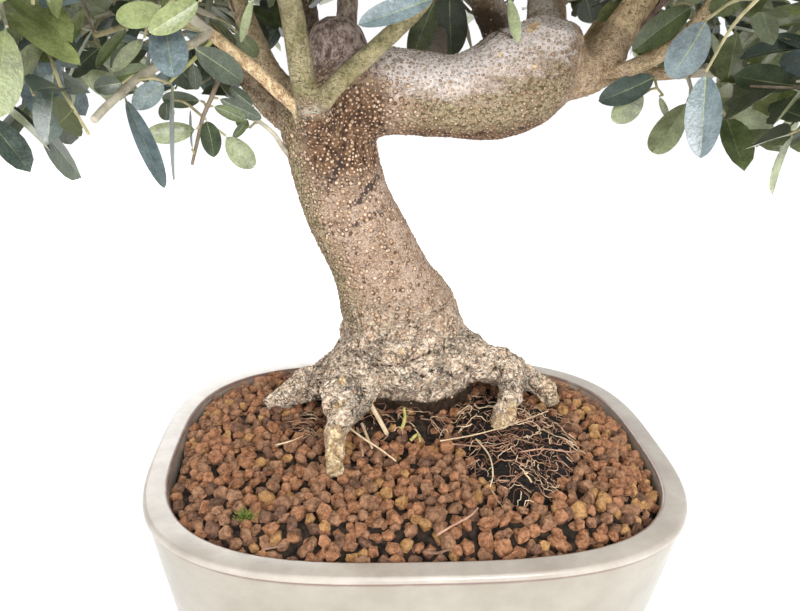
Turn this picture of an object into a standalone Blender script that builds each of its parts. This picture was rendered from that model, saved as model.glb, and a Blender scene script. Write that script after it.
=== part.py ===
"""Olive bonsai in a glazed pot: metres, +Z up, the origin at the centre of the pot's flat underside.

The front of the plant faces -Y and its trunk leans to -X. A thick bough leaves the fork to +X.
Limbs are smooth tapering tubes through a few points. Every limb is split near its foot: the stub
is fused to what carries it, and the rest is a node of its own, one TOUCH_GAP further on.
The crown is shared out between foliage masses, and each point of it belongs to the nearest mass.
"""
import math
import random

import bmesh
import bpy
import numpy as np
from mathutils import Quaternion, Vector

TOUCH_GAP = 0.0003
SMOOTH_ANGLE = math.radians(45)
UNION_SOLVER = "MANIFOLD"     # the exact solver leaves open edges where this many thin pieces meet

# Pot
POT_WIDTH = 0.250
POT_DEPTH = 0.200
POT_HEIGHT = 0.085
CORNER_POWER = 3.1            # superellipse power: 2 is an ellipse, more is squarer
LIP_WIDTH = 0.0105
LIP_HEIGHT = 0.0075
LIP_ROUND = 0.0022
LIP_STEP = 0.0016             # how far the wall under the lip stands back
WALL_DRAFT = 0.0115           # how far the outer wall comes in from lip to foot
FLOOR_THICKNESS = 0.009
FOOT_HEIGHT = 0.009
FOOT_STEP = 0.0022
FOOT_BEVEL = 0.0012
WALL_BELLY = 0.45             # share of the draft that the outer wall has taken up halfway down
DRAIN_RADIUS = 0.0065
DRAIN_OFFSET = 0.055
DRAIN_SIDES = 12
POT_SEGMENTS = 48

# Soil
SOIL_EDGE_DROP = 0.005        # gravel at the wall lies this far under the rim
SOIL_RISE = 0.006             # the flat middle stands this far over the rim
SOIL_SLOPE = 0.62
SOIL_RINGS = 4
GROUND = POT_HEIGHT + SOIL_RISE
TREE_FOOT = GROUND + TOUCH_GAP
PEAT_CENTRE = (0.047, -0.013)
PEAT_RADII = (0.031, 0.042)
PEAT_HEIGHT = 0.0105
PEAT_RINGS = 3
PEAT_SEGMENTS = 18
PEAT_EDGE = 0.0022            # height of the upright edge round the peat
PEAT_TOP = 0.17               # share of the mound's width that its flat top takes
PEAT_DOME = 0.8               # lower is flatter over the middle and steeper at the edge
PEAT_WAVES = ((3, 0.07, 0.8), (5, 0.05, 0.0))    # waves round the edge: count, height and turn
PEAT_CLEARANCE = 0.00045      # added to the limbs' radii where the mound is cut clear of them

# Limbs: a route of a few points and the radius at each of them
TRUNK = dict(
    route=[(0.004, 0.05, 0.074), (0.001, 0.049, 0.104), (-0.0055, 0.047, 0.134), (-0.012, 0.045, 0.151),
           (-0.019, 0.043, 0.168), (-0.033, 0.042, 0.1965), (-0.04, 0.042, 0.221), (-0.044, 0.042, 0.242),
           (-0.046, 0.043, 0.257)],
    radii=[0.041, 0.038, 0.032, 0.0262, 0.023, 0.022, 0.0217, 0.0225, 0.017],
)
RIGHT_BOUGH = dict(
    route=[(-0.036, 0.0415, 0.244), (-0.022, 0.0405, 0.2495), (-0.008, 0.04, 0.2505), (0.016, 0.04, 0.2485),
           (0.034, 0.04, 0.251), (0.047, 0.039, 0.2575), (0.056, 0.035, 0.2665), (0.0595, 0.031, 0.276),
           (0.0605, 0.029, 0.2835)],
    radii=[0.019, 0.0208, 0.02, 0.019, 0.0228, 0.0248, 0.0225, 0.0175, 0.011],
)
RIGHT_ARM = dict(
    route=[(0.05, 0.04, 0.257), (0.066, 0.039, 0.2625), (0.078, 0.0385, 0.262), (0.085, 0.0385, 0.265),
           (0.0905, 0.039, 0.2735)],
    radii=[0.0205, 0.0165, 0.0122, 0.0102, 0.0095],
)
FORK_LENGTH = 0.029           # length of the right bough's stub on the trunk
STUMP = dict(
    route=[(-0.042, 0.044, 0.238), (-0.039, 0.05, 0.259), (-0.038, 0.051, 0.271), (-0.038, 0.051, 0.279),
           (-0.038, 0.051, 0.2832)],
    radii=[0.017, 0.016, 0.0152, 0.0112, 0.005],
)
COLLAR = dict(
    route=[(-0.044, 0.032, 0.232), (-0.0475, 0.021, 0.24), (-0.0488, 0.013, 0.247)],
    radii=[0.012, 0.0105, 0.0068],
)
BURL = dict(
    route=[(-0.028, 0.03, 0.11), (-0.008, 0.024, 0.109), (0.014, 0.024, 0.111), (0.034, 0.034, 0.113)],
    radii=[0.01, 0.0145, 0.015, 0.01],
)
ROOTS = {
    "knuckle": dict(
        route=[(-0.022, 0.032, 0.122), (-0.0305, 0.011, 0.112), (-0.035, -0.008, 0.106),
               (-0.0385, -0.024, 0.0985), (-0.0385, -0.034, 0.09)],
        radii=[0.012, 0.0138, 0.0105, 0.0058, 0.0048],
    ),
    "left": dict(
        route=[(-0.02, 0.046, 0.109), (-0.043, 0.036, 0.1035), (-0.0615, 0.03, 0.097),
               (-0.0745, 0.031, 0.089)],
        radii=[0.0145, 0.01, 0.0072, 0.0045],
    ),
    "right": dict(
        route=[(0.016, 0.042, 0.116), (0.04, 0.038, 0.11), (0.0585, 0.036, 0.105), (0.0715, 0.033, 0.1),
               (0.0775, 0.028, 0.09)],
        radii=[0.015, 0.011, 0.0082, 0.0066, 0.005],
    ),
    "right_leg": dict(
        route=[(0.053, 0.036, 0.1085), (0.052, 0.021, 0.104), (0.0475, 0.006, 0.0985),
               (0.044, -0.002, 0.09)],
        radii=[0.0082, 0.0072, 0.0062, 0.0058],
    ),
    "back_right": dict(
        route=[(0.02, 0.054, 0.116), (0.04, 0.062, 0.104), (0.056, 0.068, 0.09)],
        radii=[0.015, 0.0105, 0.006],
    ),
    "back_left": dict(
        route=[(-0.01, 0.058, 0.118), (-0.028, 0.068, 0.104), (-0.046, 0.071, 0.09)],
        radii=[0.015, 0.011, 0.006],
    ),
}

# Boughs: route, radius at both ends, stub length, what carries the stub, and the middle of its mass
BOUGHS = {
    "left_front": dict(
        route=[(-0.0478, 0.019, 0.238), (-0.052, 0.006, 0.258), (-0.0562, 0.003, 0.286),
               (-0.063, -0.012, 0.312)],
        foot=0.006, tip=0.0045, stub=0.02, carrier="trunk", mass=(-0.092, -0.088, 0.372),
    ),
    "front": dict(
        route=[(-0.047, 0.02, 0.24), (-0.04, 0.002, 0.2535), (-0.0225, -0.004, 0.27),
               (-0.0041, -0.008, 0.288), (0.004, -0.016, 0.303)],
        foot=0.0048, tip=0.003, stub=0.024, carrier="trunk", mass=(0.006, -0.098, 0.372),
    ),
    "left_low": dict(
        route=[(-0.047, 0.034, 0.236), (-0.061, 0.0135, 0.25), (-0.0743, 0.01, 0.2621),
               (-0.091, 0.006, 0.276)],
        foot=0.0036, tip=0.0024, stub=0.029, carrier="trunk", mass=(-0.15, -0.03, 0.264),
    ),
    "left_high": dict(
        route=[(-0.048, 0.046, 0.238), (-0.0676, 0.05, 0.254), (-0.0767, 0.052, 0.2718),
               (-0.088, 0.052, 0.298)],
        foot=0.0068, tip=0.0044, stub=0.029, carrier="trunk", mass=(-0.142, 0.034, 0.372),
    ),
    "left_back": dict(
        route=[(-0.048, 0.046, 0.228), (-0.0698, 0.056, 0.24), (-0.085, 0.068, 0.256),
               (-0.102, 0.08, 0.274)],
        foot=0.0072, tip=0.004, stub=0.031, carrier="trunk", mass=(-0.146, 0.104, 0.276),
    ),
    "back_left": dict(
        route=[(-0.043, 0.05, 0.236), (-0.048, 0.073, 0.253), (-0.052, 0.09, 0.276),
               (-0.056, 0.102, 0.302)],
        foot=0.0075, tip=0.0045, stub=0.028, carrier="trunk", mass=(-0.07, 0.148, 0.372),
    ),
    "top_left": dict(
        route=[(-0.036, 0.053, 0.266), (-0.033, 0.062, 0.287), (-0.035, 0.064, 0.31),
               (-0.038, 0.06, 0.336)],
        foot=0.0058, tip=0.0042, stub=0.026, carrier="trunk", mass=(-0.062, 0.042, 0.44),
    ),
    "top": dict(
        route=[(0.047, 0.046, 0.258), (0.0415, 0.055, 0.277), (0.032, 0.058, 0.296), (0.028, 0.054, 0.326)],
        foot=0.0105, tip=0.0062, stub=0.03, carrier="bough_right", mass=(0.022, 0.04, 0.448),
    ),
    "top_right": dict(
        route=[(0.06, 0.044, 0.262), (0.064, 0.06, 0.283), (0.064, 0.066, 0.305), (0.07, 0.062, 0.334)],
        foot=0.012, tip=0.0066, stub=0.033, carrier="bough_right", mass=(0.098, 0.046, 0.424),
    ),
    "right_high": dict(
        route=[(0.085, 0.0385, 0.2645), (0.0905, 0.039, 0.2735), (0.1023, 0.04, 0.2931),
               (0.114, 0.04, 0.314)],
        foot=0.0094, tip=0.0064, stub=0.014, carrier="bough_right", mass=(0.164, 0.036, 0.36),
    ),
    "right_front": dict(
        route=[(0.082, 0.034, 0.26), (0.096, 0.0265, 0.264), (0.11, 0.017, 0.2735), (0.119, 0.004, 0.29),
               (0.119, -0.016, 0.313)],
        foot=0.004, tip=0.0028, stub=0.024, carrier="bough_right", mass=(0.104, -0.092, 0.358),
    ),
    "right_low": dict(
        route=[(0.082, 0.0385, 0.258), (0.1, 0.0385, 0.26), (0.118, 0.036, 0.262), (0.13, 0.033, 0.263)],
        foot=0.004, tip=0.0026, stub=0.02, carrier="bough_right", mass=(0.158, -0.012, 0.262),
    ),
    "right_back": dict(
        route=[(0.062, 0.044, 0.254), (0.076, 0.062, 0.26), (0.092, 0.078, 0.272), (0.104, 0.09, 0.288)],
        foot=0.0078, tip=0.0044, stub=0.032, carrier="bough_right", mass=(0.134, 0.118, 0.3),
    ),
    "back": dict(
        route=[(0.008, 0.046, 0.25), (0.01, 0.068, 0.26), (0.014, 0.088, 0.278), (0.016, 0.102, 0.302)],
        foot=0.0078, tip=0.0046, stub=0.03, carrier="bough_right", mass=(0.032, 0.152, 0.372),
    ),
}
CUT_MARGIN = 0.35             # a limb's cut keeps this share of a stretch away from its rings
LIMB_SPACING = 0.0115         # length of one stretch between two rings of a limb
TRUNK_SIDES = 13
SWELLING_SIDES = 12
ROOT_SIDES = 8
BOUGH_SIDES = 6

# Crown
CROWN_CENTRE = Vector((0.002, 0.024, 0.340))
CROWN_RADII = Vector((0.222, 0.186, 0.160))
CROWN_DEPTH = 0.128           # how far the crown reaches under its centre
SKIRT_POWER = 3.2             # the crown's lower half is squarer than the dome over it
LUMP = 0.08                   # how much the outline draws in away from a mass's middle
HEART_X = 0.016               # the open heart over the fork has no foliage
HEART_HALF_WIDTH = 0.080
HEART_FADE = 0.035
HEART_FLOOR = 0.288
HEART_FLOOR_BACK = 0.266
HEART_BACK_Y = (0.060, 0.090)
SKIRT_FLOOR = 0.212
MASS_GAP = 0.0020             # clearance between two masses

# Twigs and leaves
SEED = 7
TIPS_PER_MASS = 7
TIP_TRIES = 14                # candidates for each tip: the one furthest from the others is kept
TIP_SHELL = 0.52              # twig tips keep to the outer part of the crown
TIP_INSET = 0.85
STEM_LEAD = 0.014
STEM_TAPER = 0.75
TWIG_STEP = 0.045
TWIG_BEND = 0.35
FOOT_TRIES = 5
PATH_WEIGHT = 0.45            # how much a twig prefers a short way back to the stem
TWIG_TIP_RADIUS = 0.0013
FORK_SHARE = 0.5              # a side twig is this much thinner than its parent where it leaves it
TWIG_GROWTH = 0.42
TWIG_SIDES = 3
LEAF_LENGTH = 0.044
LEAF_WIDTH = 0.0195
LEAF_THICKNESS = 0.0014
LEAF_WIDEST = 0.46            # shares of the leaf's length, from its root
LEAF_THICKEST = 0.27
LEAF_SCALES = (0.85, 1.12)
LEAF_PAIRS = 2
LEAF_SPACING = 0.009          # from the twig's end to the first pair, and on to the next
LEAF_SPREAD = math.radians(48)
SPREAD_JITTER = 0.25
ROLL_JITTER = 0.25
ROLL_STEP = 0.45              # turn round the twig from one try to the next
END_SPREAD = 0.30             # the leaf at a twig's end leans out by up to this much
END_STEP = 0.08               # and by this much more at each try
FACE_TILT = 0.35              # how far a leaf's face strays from looking up
LEAF_TRIES = 14
SPINE_SHARES = (0.45, 0.7, 1.0)
LEAF_SINK = 0.0016            # how far back inside its twig a leaf begins
LEAF_GAP = 0.0105
LIMB_CLEARANCE = 0.0022


def clear_scene():
    for item in list(bpy.data.objects):
        bpy.data.objects.remove(item, do_unlink=True)


def make_material(name, colour, roughness, metallic=0.0):
    material = bpy.data.materials.new(name)
    material.use_nodes = True
    shader = material.node_tree.nodes["Principled BSDF"]
    shader.inputs["Base Color"].default_value = (*colour, 1.0)
    shader.inputs["Roughness"].default_value = roughness
    shader.inputs["Metallic"].default_value = metallic
    material.diffuse_color = (*colour, 1.0)
    return material


def make_object(name, mesh_data, material, smooth_angle=None):
    """A named object from a bmesh, with its faces pointing out."""
    bmesh.ops.recalc_face_normals(mesh_data, faces=mesh_data.faces)
    mesh = bpy.data.meshes.new(name)
    mesh_data.to_mesh(mesh)
    mesh_data.free()
    mesh.materials.append(material)
    if smooth_angle is not None:
        mesh.shade_smooth()
        mesh.set_sharp_from_angle(angle=smooth_angle)
    item = bpy.data.objects.new(name, mesh)
    bpy.context.scene.collection.objects.link(item)
    return item


def apply_modifiers(item):
    depsgraph = bpy.context.evaluated_depsgraph_get()
    finished = bpy.data.meshes.new_from_object(item.evaluated_get(depsgraph))
    item.modifiers.clear()
    old_mesh = item.data
    item.data = finished
    bpy.data.meshes.remove(old_mesh)


def fuse(base, pieces):
    """Join pieces to the base by one Boolean union on a collection, then remove them."""
    group = bpy.data.collections.new(base.name + "_pieces")
    for piece in pieces:
        group.objects.link(piece)
    union = base.modifiers.new("union", "BOOLEAN")
    union.operation = "UNION"
    union.operand_type = "COLLECTION"
    union.collection = group
    union.solver = UNION_SOLVER
    apply_modifiers(base)
    for piece in pieces:
        bpy.data.objects.remove(piece, do_unlink=True)
    bpy.data.collections.remove(group)
    keep_main_shell(base)


def cut(base, cutter):
    """Take the cutter away from the base, then remove it."""
    difference = base.modifiers.new("cut", "BOOLEAN")
    difference.operation = "DIFFERENCE"
    difference.object = cutter
    apply_modifiers(base)
    bpy.data.objects.remove(cutter, do_unlink=True)
    keep_main_shell(base)


def shell_volume(faces):
    """Signed volume of a closed shell: a sealed hollow's is negative."""
    volume = 0.0
    for face in faces:
        corners = [vertex.co for vertex in face.verts]
        for second, third in zip(corners[1:-1], corners[2:]):
            volume += corners[0].dot(second.cross(third)) / 6.0
    return volume


def keep_main_shell(item):
    """Drop loose scraps and fill sealed hollows: only the largest shell stays."""
    mesh_data = bmesh.new()
    mesh_data.from_mesh(item.data)
    waiting = set(mesh_data.faces)
    shells = []
    while waiting:
        frontier = [waiting.pop()]
        shell = []
        while frontier:
            face = frontier.pop()
            shell.append(face)
            for edge in face.edges:
                for neighbour in edge.link_faces:
                    if neighbour in waiting:
                        waiting.remove(neighbour)
                        frontier.append(neighbour)
        shells.append(shell)
    main = max(shells, key=shell_volume)
    scraps = [face for shell in shells if shell is not main for face in shell]
    bmesh.ops.delete(mesh_data, geom=scraps, context="FACES")
    mesh_data.to_mesh(item.data)
    mesh_data.free()


def smooth_step(value, low, high):
    share = min(max((value - low) / (high - low), 0.0), 1.0)
    return share * share * (3.0 - 2.0 * share)


def smooth_route(route, radii, spacing=LIMB_SPACING):
    """Points and radii along the Catmull-Rom curve through a limb's route."""
    knots = [Vector(point) for point in route]
    knots = [2.0 * knots[0] - knots[1], *knots, 2.0 * knots[-1] - knots[-2]]
    sizes = [radii[0], *radii, radii[-1]]
    points, widths = [], []
    for index in range(1, len(knots) - 2):
        before, start, end, after = knots[index - 1:index + 3]
        count = max(1, round((end - start).length / spacing))
        for step in range(count):
            share = step / count
            points.append(0.5 * (2.0 * start + (end - before) * share
                                 + (2.0 * before - 5.0 * start + 4.0 * end - after) * share ** 2
                                 + (3.0 * start - before - 3.0 * end + after) * share ** 3))
            widths.append(sizes[index] + (sizes[index + 1] - sizes[index]) * share)
    points.append(knots[-2])
    widths.append(sizes[-1])
    return points, widths


def taper(bough):
    """Radii for a bough's route, falling evenly from foot to tip."""
    last = len(bough["route"]) - 1
    return [bough["foot"] + (bough["tip"] - bough["foot"]) * index / last for index in range(last + 1)]


def split_route(points, radii, length):
    """Split a limb near a length along it, into a stub and a rest that starts one gap further on.

    The cut keeps away from the rings, so that both new ends are square to the same stretch.
    """
    travelled = 0.0
    for index in range(len(points) - 1):
        stretch = points[index + 1] - points[index]
        if travelled + stretch.length >= length:
            share = min(max((length - travelled) / stretch.length, CUT_MARGIN), 1.0 - CUT_MARGIN)
            radius = radii[index] + (radii[index + 1] - radii[index]) * share
            here = points[index] + stretch * share
            there = here + stretch.normalized() * TOUCH_GAP
            stub = (points[:index + 1] + [here], radii[:index + 1] + [radius])
            rest = ([there] + points[index + 1:], [radius] + radii[index + 1:])
            return stub, rest
        travelled += stretch.length
    raise ValueError("the stub is longer than its limb")


def tube(points, radii, sides):
    """A closed tapering tube: rings square to its path, carried along it without twist."""
    mesh_data = bmesh.new()
    last = len(points) - 1
    tangents = []
    for index in range(last + 1):
        tangents.append((points[min(index + 1, last)] - points[max(index - 1, 0)]).normalized())
    tangents[0] = (points[1] - points[0]).normalized()
    tangents[-1] = (points[-1] - points[-2]).normalized()
    side = tangents[0].orthogonal().normalized()
    rings = []
    for index, (point, radius, tangent) in enumerate(zip(points, radii, tangents)):
        if index:
            side.rotate(tangents[index - 1].rotation_difference(tangent))
        side = (side - tangent * side.dot(tangent)).normalized()
        other = tangent.cross(side)
        ring = []
        for corner in range(sides):
            angle = 2.0 * math.pi * corner / sides
            outward = side * math.cos(angle) + other * math.sin(angle)
            ring.append(mesh_data.verts.new(point + radius * outward))
        rings.append(ring)
    for lower, upper in zip(rings[:-1], rings[1:]):
        for corner in range(sides):
            following = (corner + 1) % sides
            mesh_data.faces.new((lower[corner], lower[following], upper[following], upper[corner]))
    mesh_data.faces.new(rings[0][::-1])
    mesh_data.faces.new(rings[-1])
    return mesh_data


def pot_outline(inset):
    """Points round the pot, the given distance inside its widest outline."""
    half_width = 0.5 * POT_WIDTH - inset
    half_depth = 0.5 * POT_DEPTH - inset
    outline = []
    for index in range(POT_SEGMENTS):
        angle = 2.0 * math.pi * (index + 0.5) / POT_SEGMENTS
        across = abs(math.cos(angle) / half_width) ** CORNER_POWER
        along = abs(math.sin(angle) / half_depth) ** CORNER_POWER
        radius = (across + along) ** (-1.0 / CORNER_POWER)
        outline.append(Vector((radius * math.cos(angle), radius * math.sin(angle), 0.0)))
    return outline


def lathe_outline(mesh_data, profile):
    """Closed solid from (inset, height) pairs, each a ring round the pot, from one cap to the other."""
    rings = []
    for inset, height in profile:
        rings.append([mesh_data.verts.new((point.x, point.y, height)) for point in pot_outline(inset)])
    for lower, upper in zip(rings[:-1], rings[1:]):
        for index in range(POT_SEGMENTS):
            following = (index + 1) % POT_SEGMENTS
            mesh_data.faces.new((lower[index], lower[following], upper[following], upper[index]))
    mesh_data.faces.new(rings[0][::-1])
    mesh_data.faces.new(rings[-1])


def inner_inset(height):
    """Inset of the pot's inner wall at a height."""
    depth_share = (POT_HEIGHT - height) / POT_HEIGHT
    return LIP_WIDTH + depth_share * WALL_DRAFT


def make_pot(material):
    """Glazed pot: flat foot, drawn-in wall, rounded lip, and a floor with two drain holes."""
    wall_top = POT_HEIGHT - LIP_HEIGHT
    corner = LIP_ROUND * (1.0 - math.sqrt(0.5))
    profile = [
        (WALL_DRAFT + FOOT_STEP + LIP_STEP + FOOT_BEVEL, 0.0),
        (WALL_DRAFT + FOOT_STEP + LIP_STEP, FOOT_BEVEL),
        (WALL_DRAFT + FOOT_STEP + LIP_STEP, FOOT_HEIGHT - FOOT_STEP),
        (WALL_DRAFT + LIP_STEP, FOOT_HEIGHT),
        (WALL_BELLY * WALL_DRAFT + LIP_STEP, 0.5 * (FOOT_HEIGHT + wall_top)),
        (LIP_STEP, wall_top - LIP_STEP),
        (corner, wall_top - LIP_STEP + corner),
        (0.0, wall_top + LIP_ROUND),
        (0.0, POT_HEIGHT - LIP_ROUND),
        (corner, POT_HEIGHT - corner),
        (LIP_ROUND, POT_HEIGHT),
        (LIP_WIDTH - LIP_ROUND, POT_HEIGHT),
        (LIP_WIDTH, POT_HEIGHT - LIP_ROUND),
        (inner_inset(FLOOR_THICKNESS), FLOOR_THICKNESS),
    ]
    mesh_data = bmesh.new()
    lathe_outline(mesh_data, profile)
    pot = make_object("pot", mesh_data, material, SMOOTH_ANGLE)
    for side in (-1, 1):
        drill = bmesh.new()
        bmesh.ops.create_cone(drill, cap_ends=True, segments=DRAIN_SIDES, radius1=DRAIN_RADIUS,
                              radius2=DRAIN_RADIUS, depth=4.0 * FLOOR_THICKNESS)
        bmesh.ops.translate(drill, vec=(side * DRAIN_OFFSET, 0.0, 0.0), verts=drill.verts)
        cut(pot, make_object("drill", drill, material))
    return pot


def soil_height(wall_distance):
    """Gravel rises from the wall at its slope and is flat round the tree."""
    edge = POT_HEIGHT - SOIL_EDGE_DROP
    return min(GROUND, edge + SOIL_SLOPE * wall_distance)


def make_soil(material):
    """The soil body: it fills the pot, rises from the wall and is flat under the tree."""
    edge = POT_HEIGHT - SOIL_EDGE_DROP
    flat_from = (GROUND - edge) / SOIL_SLOPE
    floor = FLOOR_THICKNESS + TOUCH_GAP
    profile = [(inner_inset(floor) + TOUCH_GAP, floor)]
    top_inset = inner_inset(edge) + TOUCH_GAP
    profile.append((top_inset, edge))
    for ring in range(1, SOIL_RINGS + 1):
        distance = flat_from * ring / SOIL_RINGS
        profile.append((top_inset + distance, soil_height(distance)))
    mesh_data = bmesh.new()
    lathe_outline(mesh_data, profile)
    return make_object("soil", mesh_data, material)


def make_peat(material, limbs):
    """The raked mound of dark peat and fine roots round the right root, cut clear of the tree."""
    mesh_data = bmesh.new()
    rings = []
    for ring in range(PEAT_RINGS + 1):
        share = PEAT_TOP + (1.0 - PEAT_TOP) * ring / PEAT_RINGS
        dome = max(math.cos(0.5 * math.pi * share), 0.0) ** PEAT_DOME
        height = TREE_FOOT + PEAT_EDGE + (PEAT_HEIGHT - PEAT_EDGE) * dome
        points = []
        for index in range(PEAT_SEGMENTS):
            angle = 2.0 * math.pi * index / PEAT_SEGMENTS
            waves = sum(wave * math.sin(count * angle + turn) for count, wave, turn in PEAT_WAVES)
            reach = share * (1.0 + waves)
            points.append(mesh_data.verts.new((
                PEAT_CENTRE[0] + reach * PEAT_RADII[0] * math.cos(angle),
                PEAT_CENTRE[1] + reach * PEAT_RADII[1] * math.sin(angle),
                height,
            )))
        rings.append(points)
    foot = [mesh_data.verts.new((vertex.co.x, vertex.co.y, TREE_FOOT)) for vertex in rings[-1]]
    rings.append(foot)
    for inner, outer in zip(rings[:-1], rings[1:]):
        for index in range(PEAT_SEGMENTS):
            following = (index + 1) % PEAT_SEGMENTS
            mesh_data.faces.new((inner[index], outer[index], outer[following], inner[following]))
    mesh_data.faces.new(rings[0])
    mesh_data.faces.new(foot[::-1])
    peat = make_object("peat", mesh_data, material)
    for points, radii, sides in limbs:
        wide = [radius + PEAT_CLEARANCE for radius in radii]
        cut(peat, make_object("cutter", tube(points, wide, sides), material))
    return peat


def limb_object(name, limb, sides, material):
    points, radii = limb
    return make_object(name, tube(points, radii, sides), material, SMOOTH_ANGLE)


def level_foot(tree):
    """Cut the tree off flat where it stands on the soil."""
    block = bmesh.new()
    bmesh.ops.create_cube(block, size=1.0)
    bmesh.ops.translate(block, vec=(0.0, 0.0, TREE_FOOT - 0.5), verts=block.verts)
    cut(tree, make_object("block", block, tree.data.materials[0]))


def make_limbs(bark, young_bark):
    """Trunk, right bough and all boughs. Returns each bough's tip, and every limb as a route."""
    trunk_route = smooth_route(**TRUNK)
    fork_stub, right_route = split_route(*smooth_route(**RIGHT_BOUGH), FORK_LENGTH)
    root_routes = {name: smooth_route(**root) for name, root in ROOTS.items()}
    burl_route = smooth_route(**BURL)
    arm_route = smooth_route(**RIGHT_ARM)
    all_routes = [trunk_route, smooth_route(**RIGHT_BOUGH), arm_route, smooth_route(**STUMP)]

    stubs = {"trunk": [], "bough_right": []}
    tips = {}
    for name, bough in BOUGHS.items():
        route = smooth_route(bough["route"], taper(bough))
        stub, rest = split_route(*route, bough["stub"])
        stubs[bough["carrier"]].append(limb_object("stub_" + name, stub, BOUGH_SIDES, bark))
        limb_object("bough_" + name, rest, BOUGH_SIDES, young_bark)
        heading = (rest[0][-1] - rest[0][-2]).normalized()
        tips[name] = (rest[0][-1], heading, rest[1][-1])
        all_routes.append(route)

    trunk = limb_object("trunk", trunk_route, TRUNK_SIDES, bark)
    pieces = [limb_object("fork_stub", fork_stub, TRUNK_SIDES, bark)]
    for route in (smooth_route(**STUMP), smooth_route(**COLLAR), burl_route):
        pieces.append(limb_object("swelling", route, SWELLING_SIDES, bark))
    for name, route in root_routes.items():
        pieces.append(limb_object("root_" + name, route, ROOT_SIDES, bark))
    fuse(trunk, pieces + stubs["trunk"])
    level_foot(trunk)

    right = limb_object("bough_right", right_route, TRUNK_SIDES, bark)
    arm = limb_object("arm", arm_route, SWELLING_SIDES, bark)
    fuse(right, [arm] + stubs["bough_right"])

    under_peat = [(*trunk_route, TRUNK_SIDES), (*burl_route, SWELLING_SIDES)]
    under_peat += [(*root_routes[name], ROOT_SIDES) for name in ("right", "right_leg", "knuckle")]
    return tips, all_routes, under_peat


class Crown:
    """The crown's space, shared out between the masses, and kept clear of every limb.

    A mass's axis runs from its bough's tip to its middle, and it owns the points nearest to that.
    """

    def __init__(self, limbs, tips):
        self.names = list(BOUGHS)
        self.middles = [Vector(bough["mass"]) for bough in BOUGHS.values()]
        self.feet = np.array([tuple(tips[name][0]) for name in self.names])
        self.axes = np.array([tuple(middle) for middle in self.middles]) - self.feet
        centres = [point for points, _ in limbs for point in points]
        self.limb_centres = np.array([tuple(point) for point in centres])
        self.limb_radii = np.array([radius for _, radii in limbs for radius in radii])

    def axis_distances(self, point):
        offsets = np.array(tuple(point)) - self.feet
        shares = (offsets * self.axes).sum(axis=1) / (self.axes ** 2).sum(axis=1)
        nearest = self.axes * np.clip(shares, 0.0, 1.0)[:, None]
        return np.sqrt(((offsets - nearest) ** 2).sum(axis=1))

    def owner(self, point):
        return int(self.axis_distances(point).argmin())

    def depth(self, point):
        """Share of the way from the crown's centre to its outline: 1 is on the outline."""
        offset = point - CROWN_CENTRE
        height = CROWN_RADII.z if offset.z > 0.0 else CROWN_DEPTH
        power = 2.0 if offset.z > 0.0 else SKIRT_POWER
        shares = (offset.x / CROWN_RADII.x, offset.y / CROWN_RADII.y, offset.z / height)
        depth = sum(abs(share) ** power for share in shares) ** (1.0 / power)
        middle = self.middles[self.owner(point)] - CROWN_CENTRE
        turn = 0.0
        if offset.length > 0.001:
            turn = offset.angle(middle)
        return depth * (1.0 + LUMP * turn * turn)

    def floor(self, point):
        """Lowest foliage: high over the open heart, low at the crown's skirt."""
        backward = smooth_step(point.y, *HEART_BACK_Y)
        heart = HEART_FLOOR + (HEART_FLOOR_BACK - HEART_FLOOR) * backward
        outward = smooth_step(abs(point.x - HEART_X), HEART_HALF_WIDTH, HEART_HALF_WIDTH + HEART_FADE)
        return heart + (SKIRT_FLOOR - heart) * outward

    def owns(self, point, mass):
        """True where a point is on the mass's side of its neighbours, by half the gap or more."""
        distances = self.axis_distances(point)
        others = np.delete(distances, mass)
        return bool(others.min() - distances[mass] > MASS_GAP)

    def holds(self, point, mass, reach=1.0):
        """True where a point is inside the crown and the mass owns it."""
        if self.depth(point) > reach or point.z < self.floor(point):
            return False
        return self.owns(point, mass)

    def clear_of_limbs(self, point, margin):
        offsets = self.limb_centres - np.array(tuple(point))
        return bool(np.all(np.sqrt((offsets ** 2).sum(axis=1)) > self.limb_radii + margin))


def scatter_tips(crown, dice):
    """Twig tips for each mass, spread evenly through the outer part of its share of the crown."""
    chosen = []
    tips = [[] for _ in crown.names]
    for mass, own_tips in enumerate(tips):
        while len(own_tips) < TIPS_PER_MASS:
            best, best_gap = None, -1.0
            tries = 0
            while tries < TIP_TRIES:
                shares = [dice.uniform(-1.0, 1.0) for _ in range(3)]
                reach = [share * radius for share, radius in zip(shares, CROWN_RADII)]
                point = CROWN_CENTRE + Vector(reach)
                if crown.depth(point) < TIP_SHELL or not crown.holds(point, mass, TIP_INSET):
                    continue
                tries += 1
                gap = min([(point - other).length for other in chosen], default=1.0)
                if gap > best_gap:
                    best, best_gap = point, gap
            chosen.append(best)
            own_tips.append(best)
    return tips


def twig_path(start, heading, end, bend):
    """A twig leaves along its parent and bends over to its tip."""
    reach = (end - start).length
    control = start.lerp(end, 0.5) if not bend else start + heading * bend * reach
    count = max(2, round(reach / TWIG_STEP))
    points = []
    for step in range(count + 1):
        share = step / count
        points.append(start * (1.0 - share) ** 2 + control * 2.0 * share * (1.0 - share) + end * share ** 2)
    return points


def free_path(crown, mass, nodes, target):
    """The cheapest twig to a tip that stays in the mass's space and off the limbs, or None."""
    costs = [(target - point).length + PATH_WEIGHT * way for point, _, way in nodes]
    feet = sorted(range(1, len(nodes)), key=lambda foot: costs[foot])
    for foot in feet[:FOOT_TRIES]:
        for bend in (TWIG_BEND, 0.0):
            path = twig_path(nodes[foot][0], nodes[foot][1], target, bend)
            samples = path[1:] + [0.5 * (first + second) for first, second in zip(path[:-1], path[1:])]
            on_own_side = all(crown.owns(sample, mass) for sample in samples)
            if on_own_side and all(crown.clear_of_limbs(sample, LIMB_CLEARANCE) for sample in samples):
                return foot, path
    return None


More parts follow.
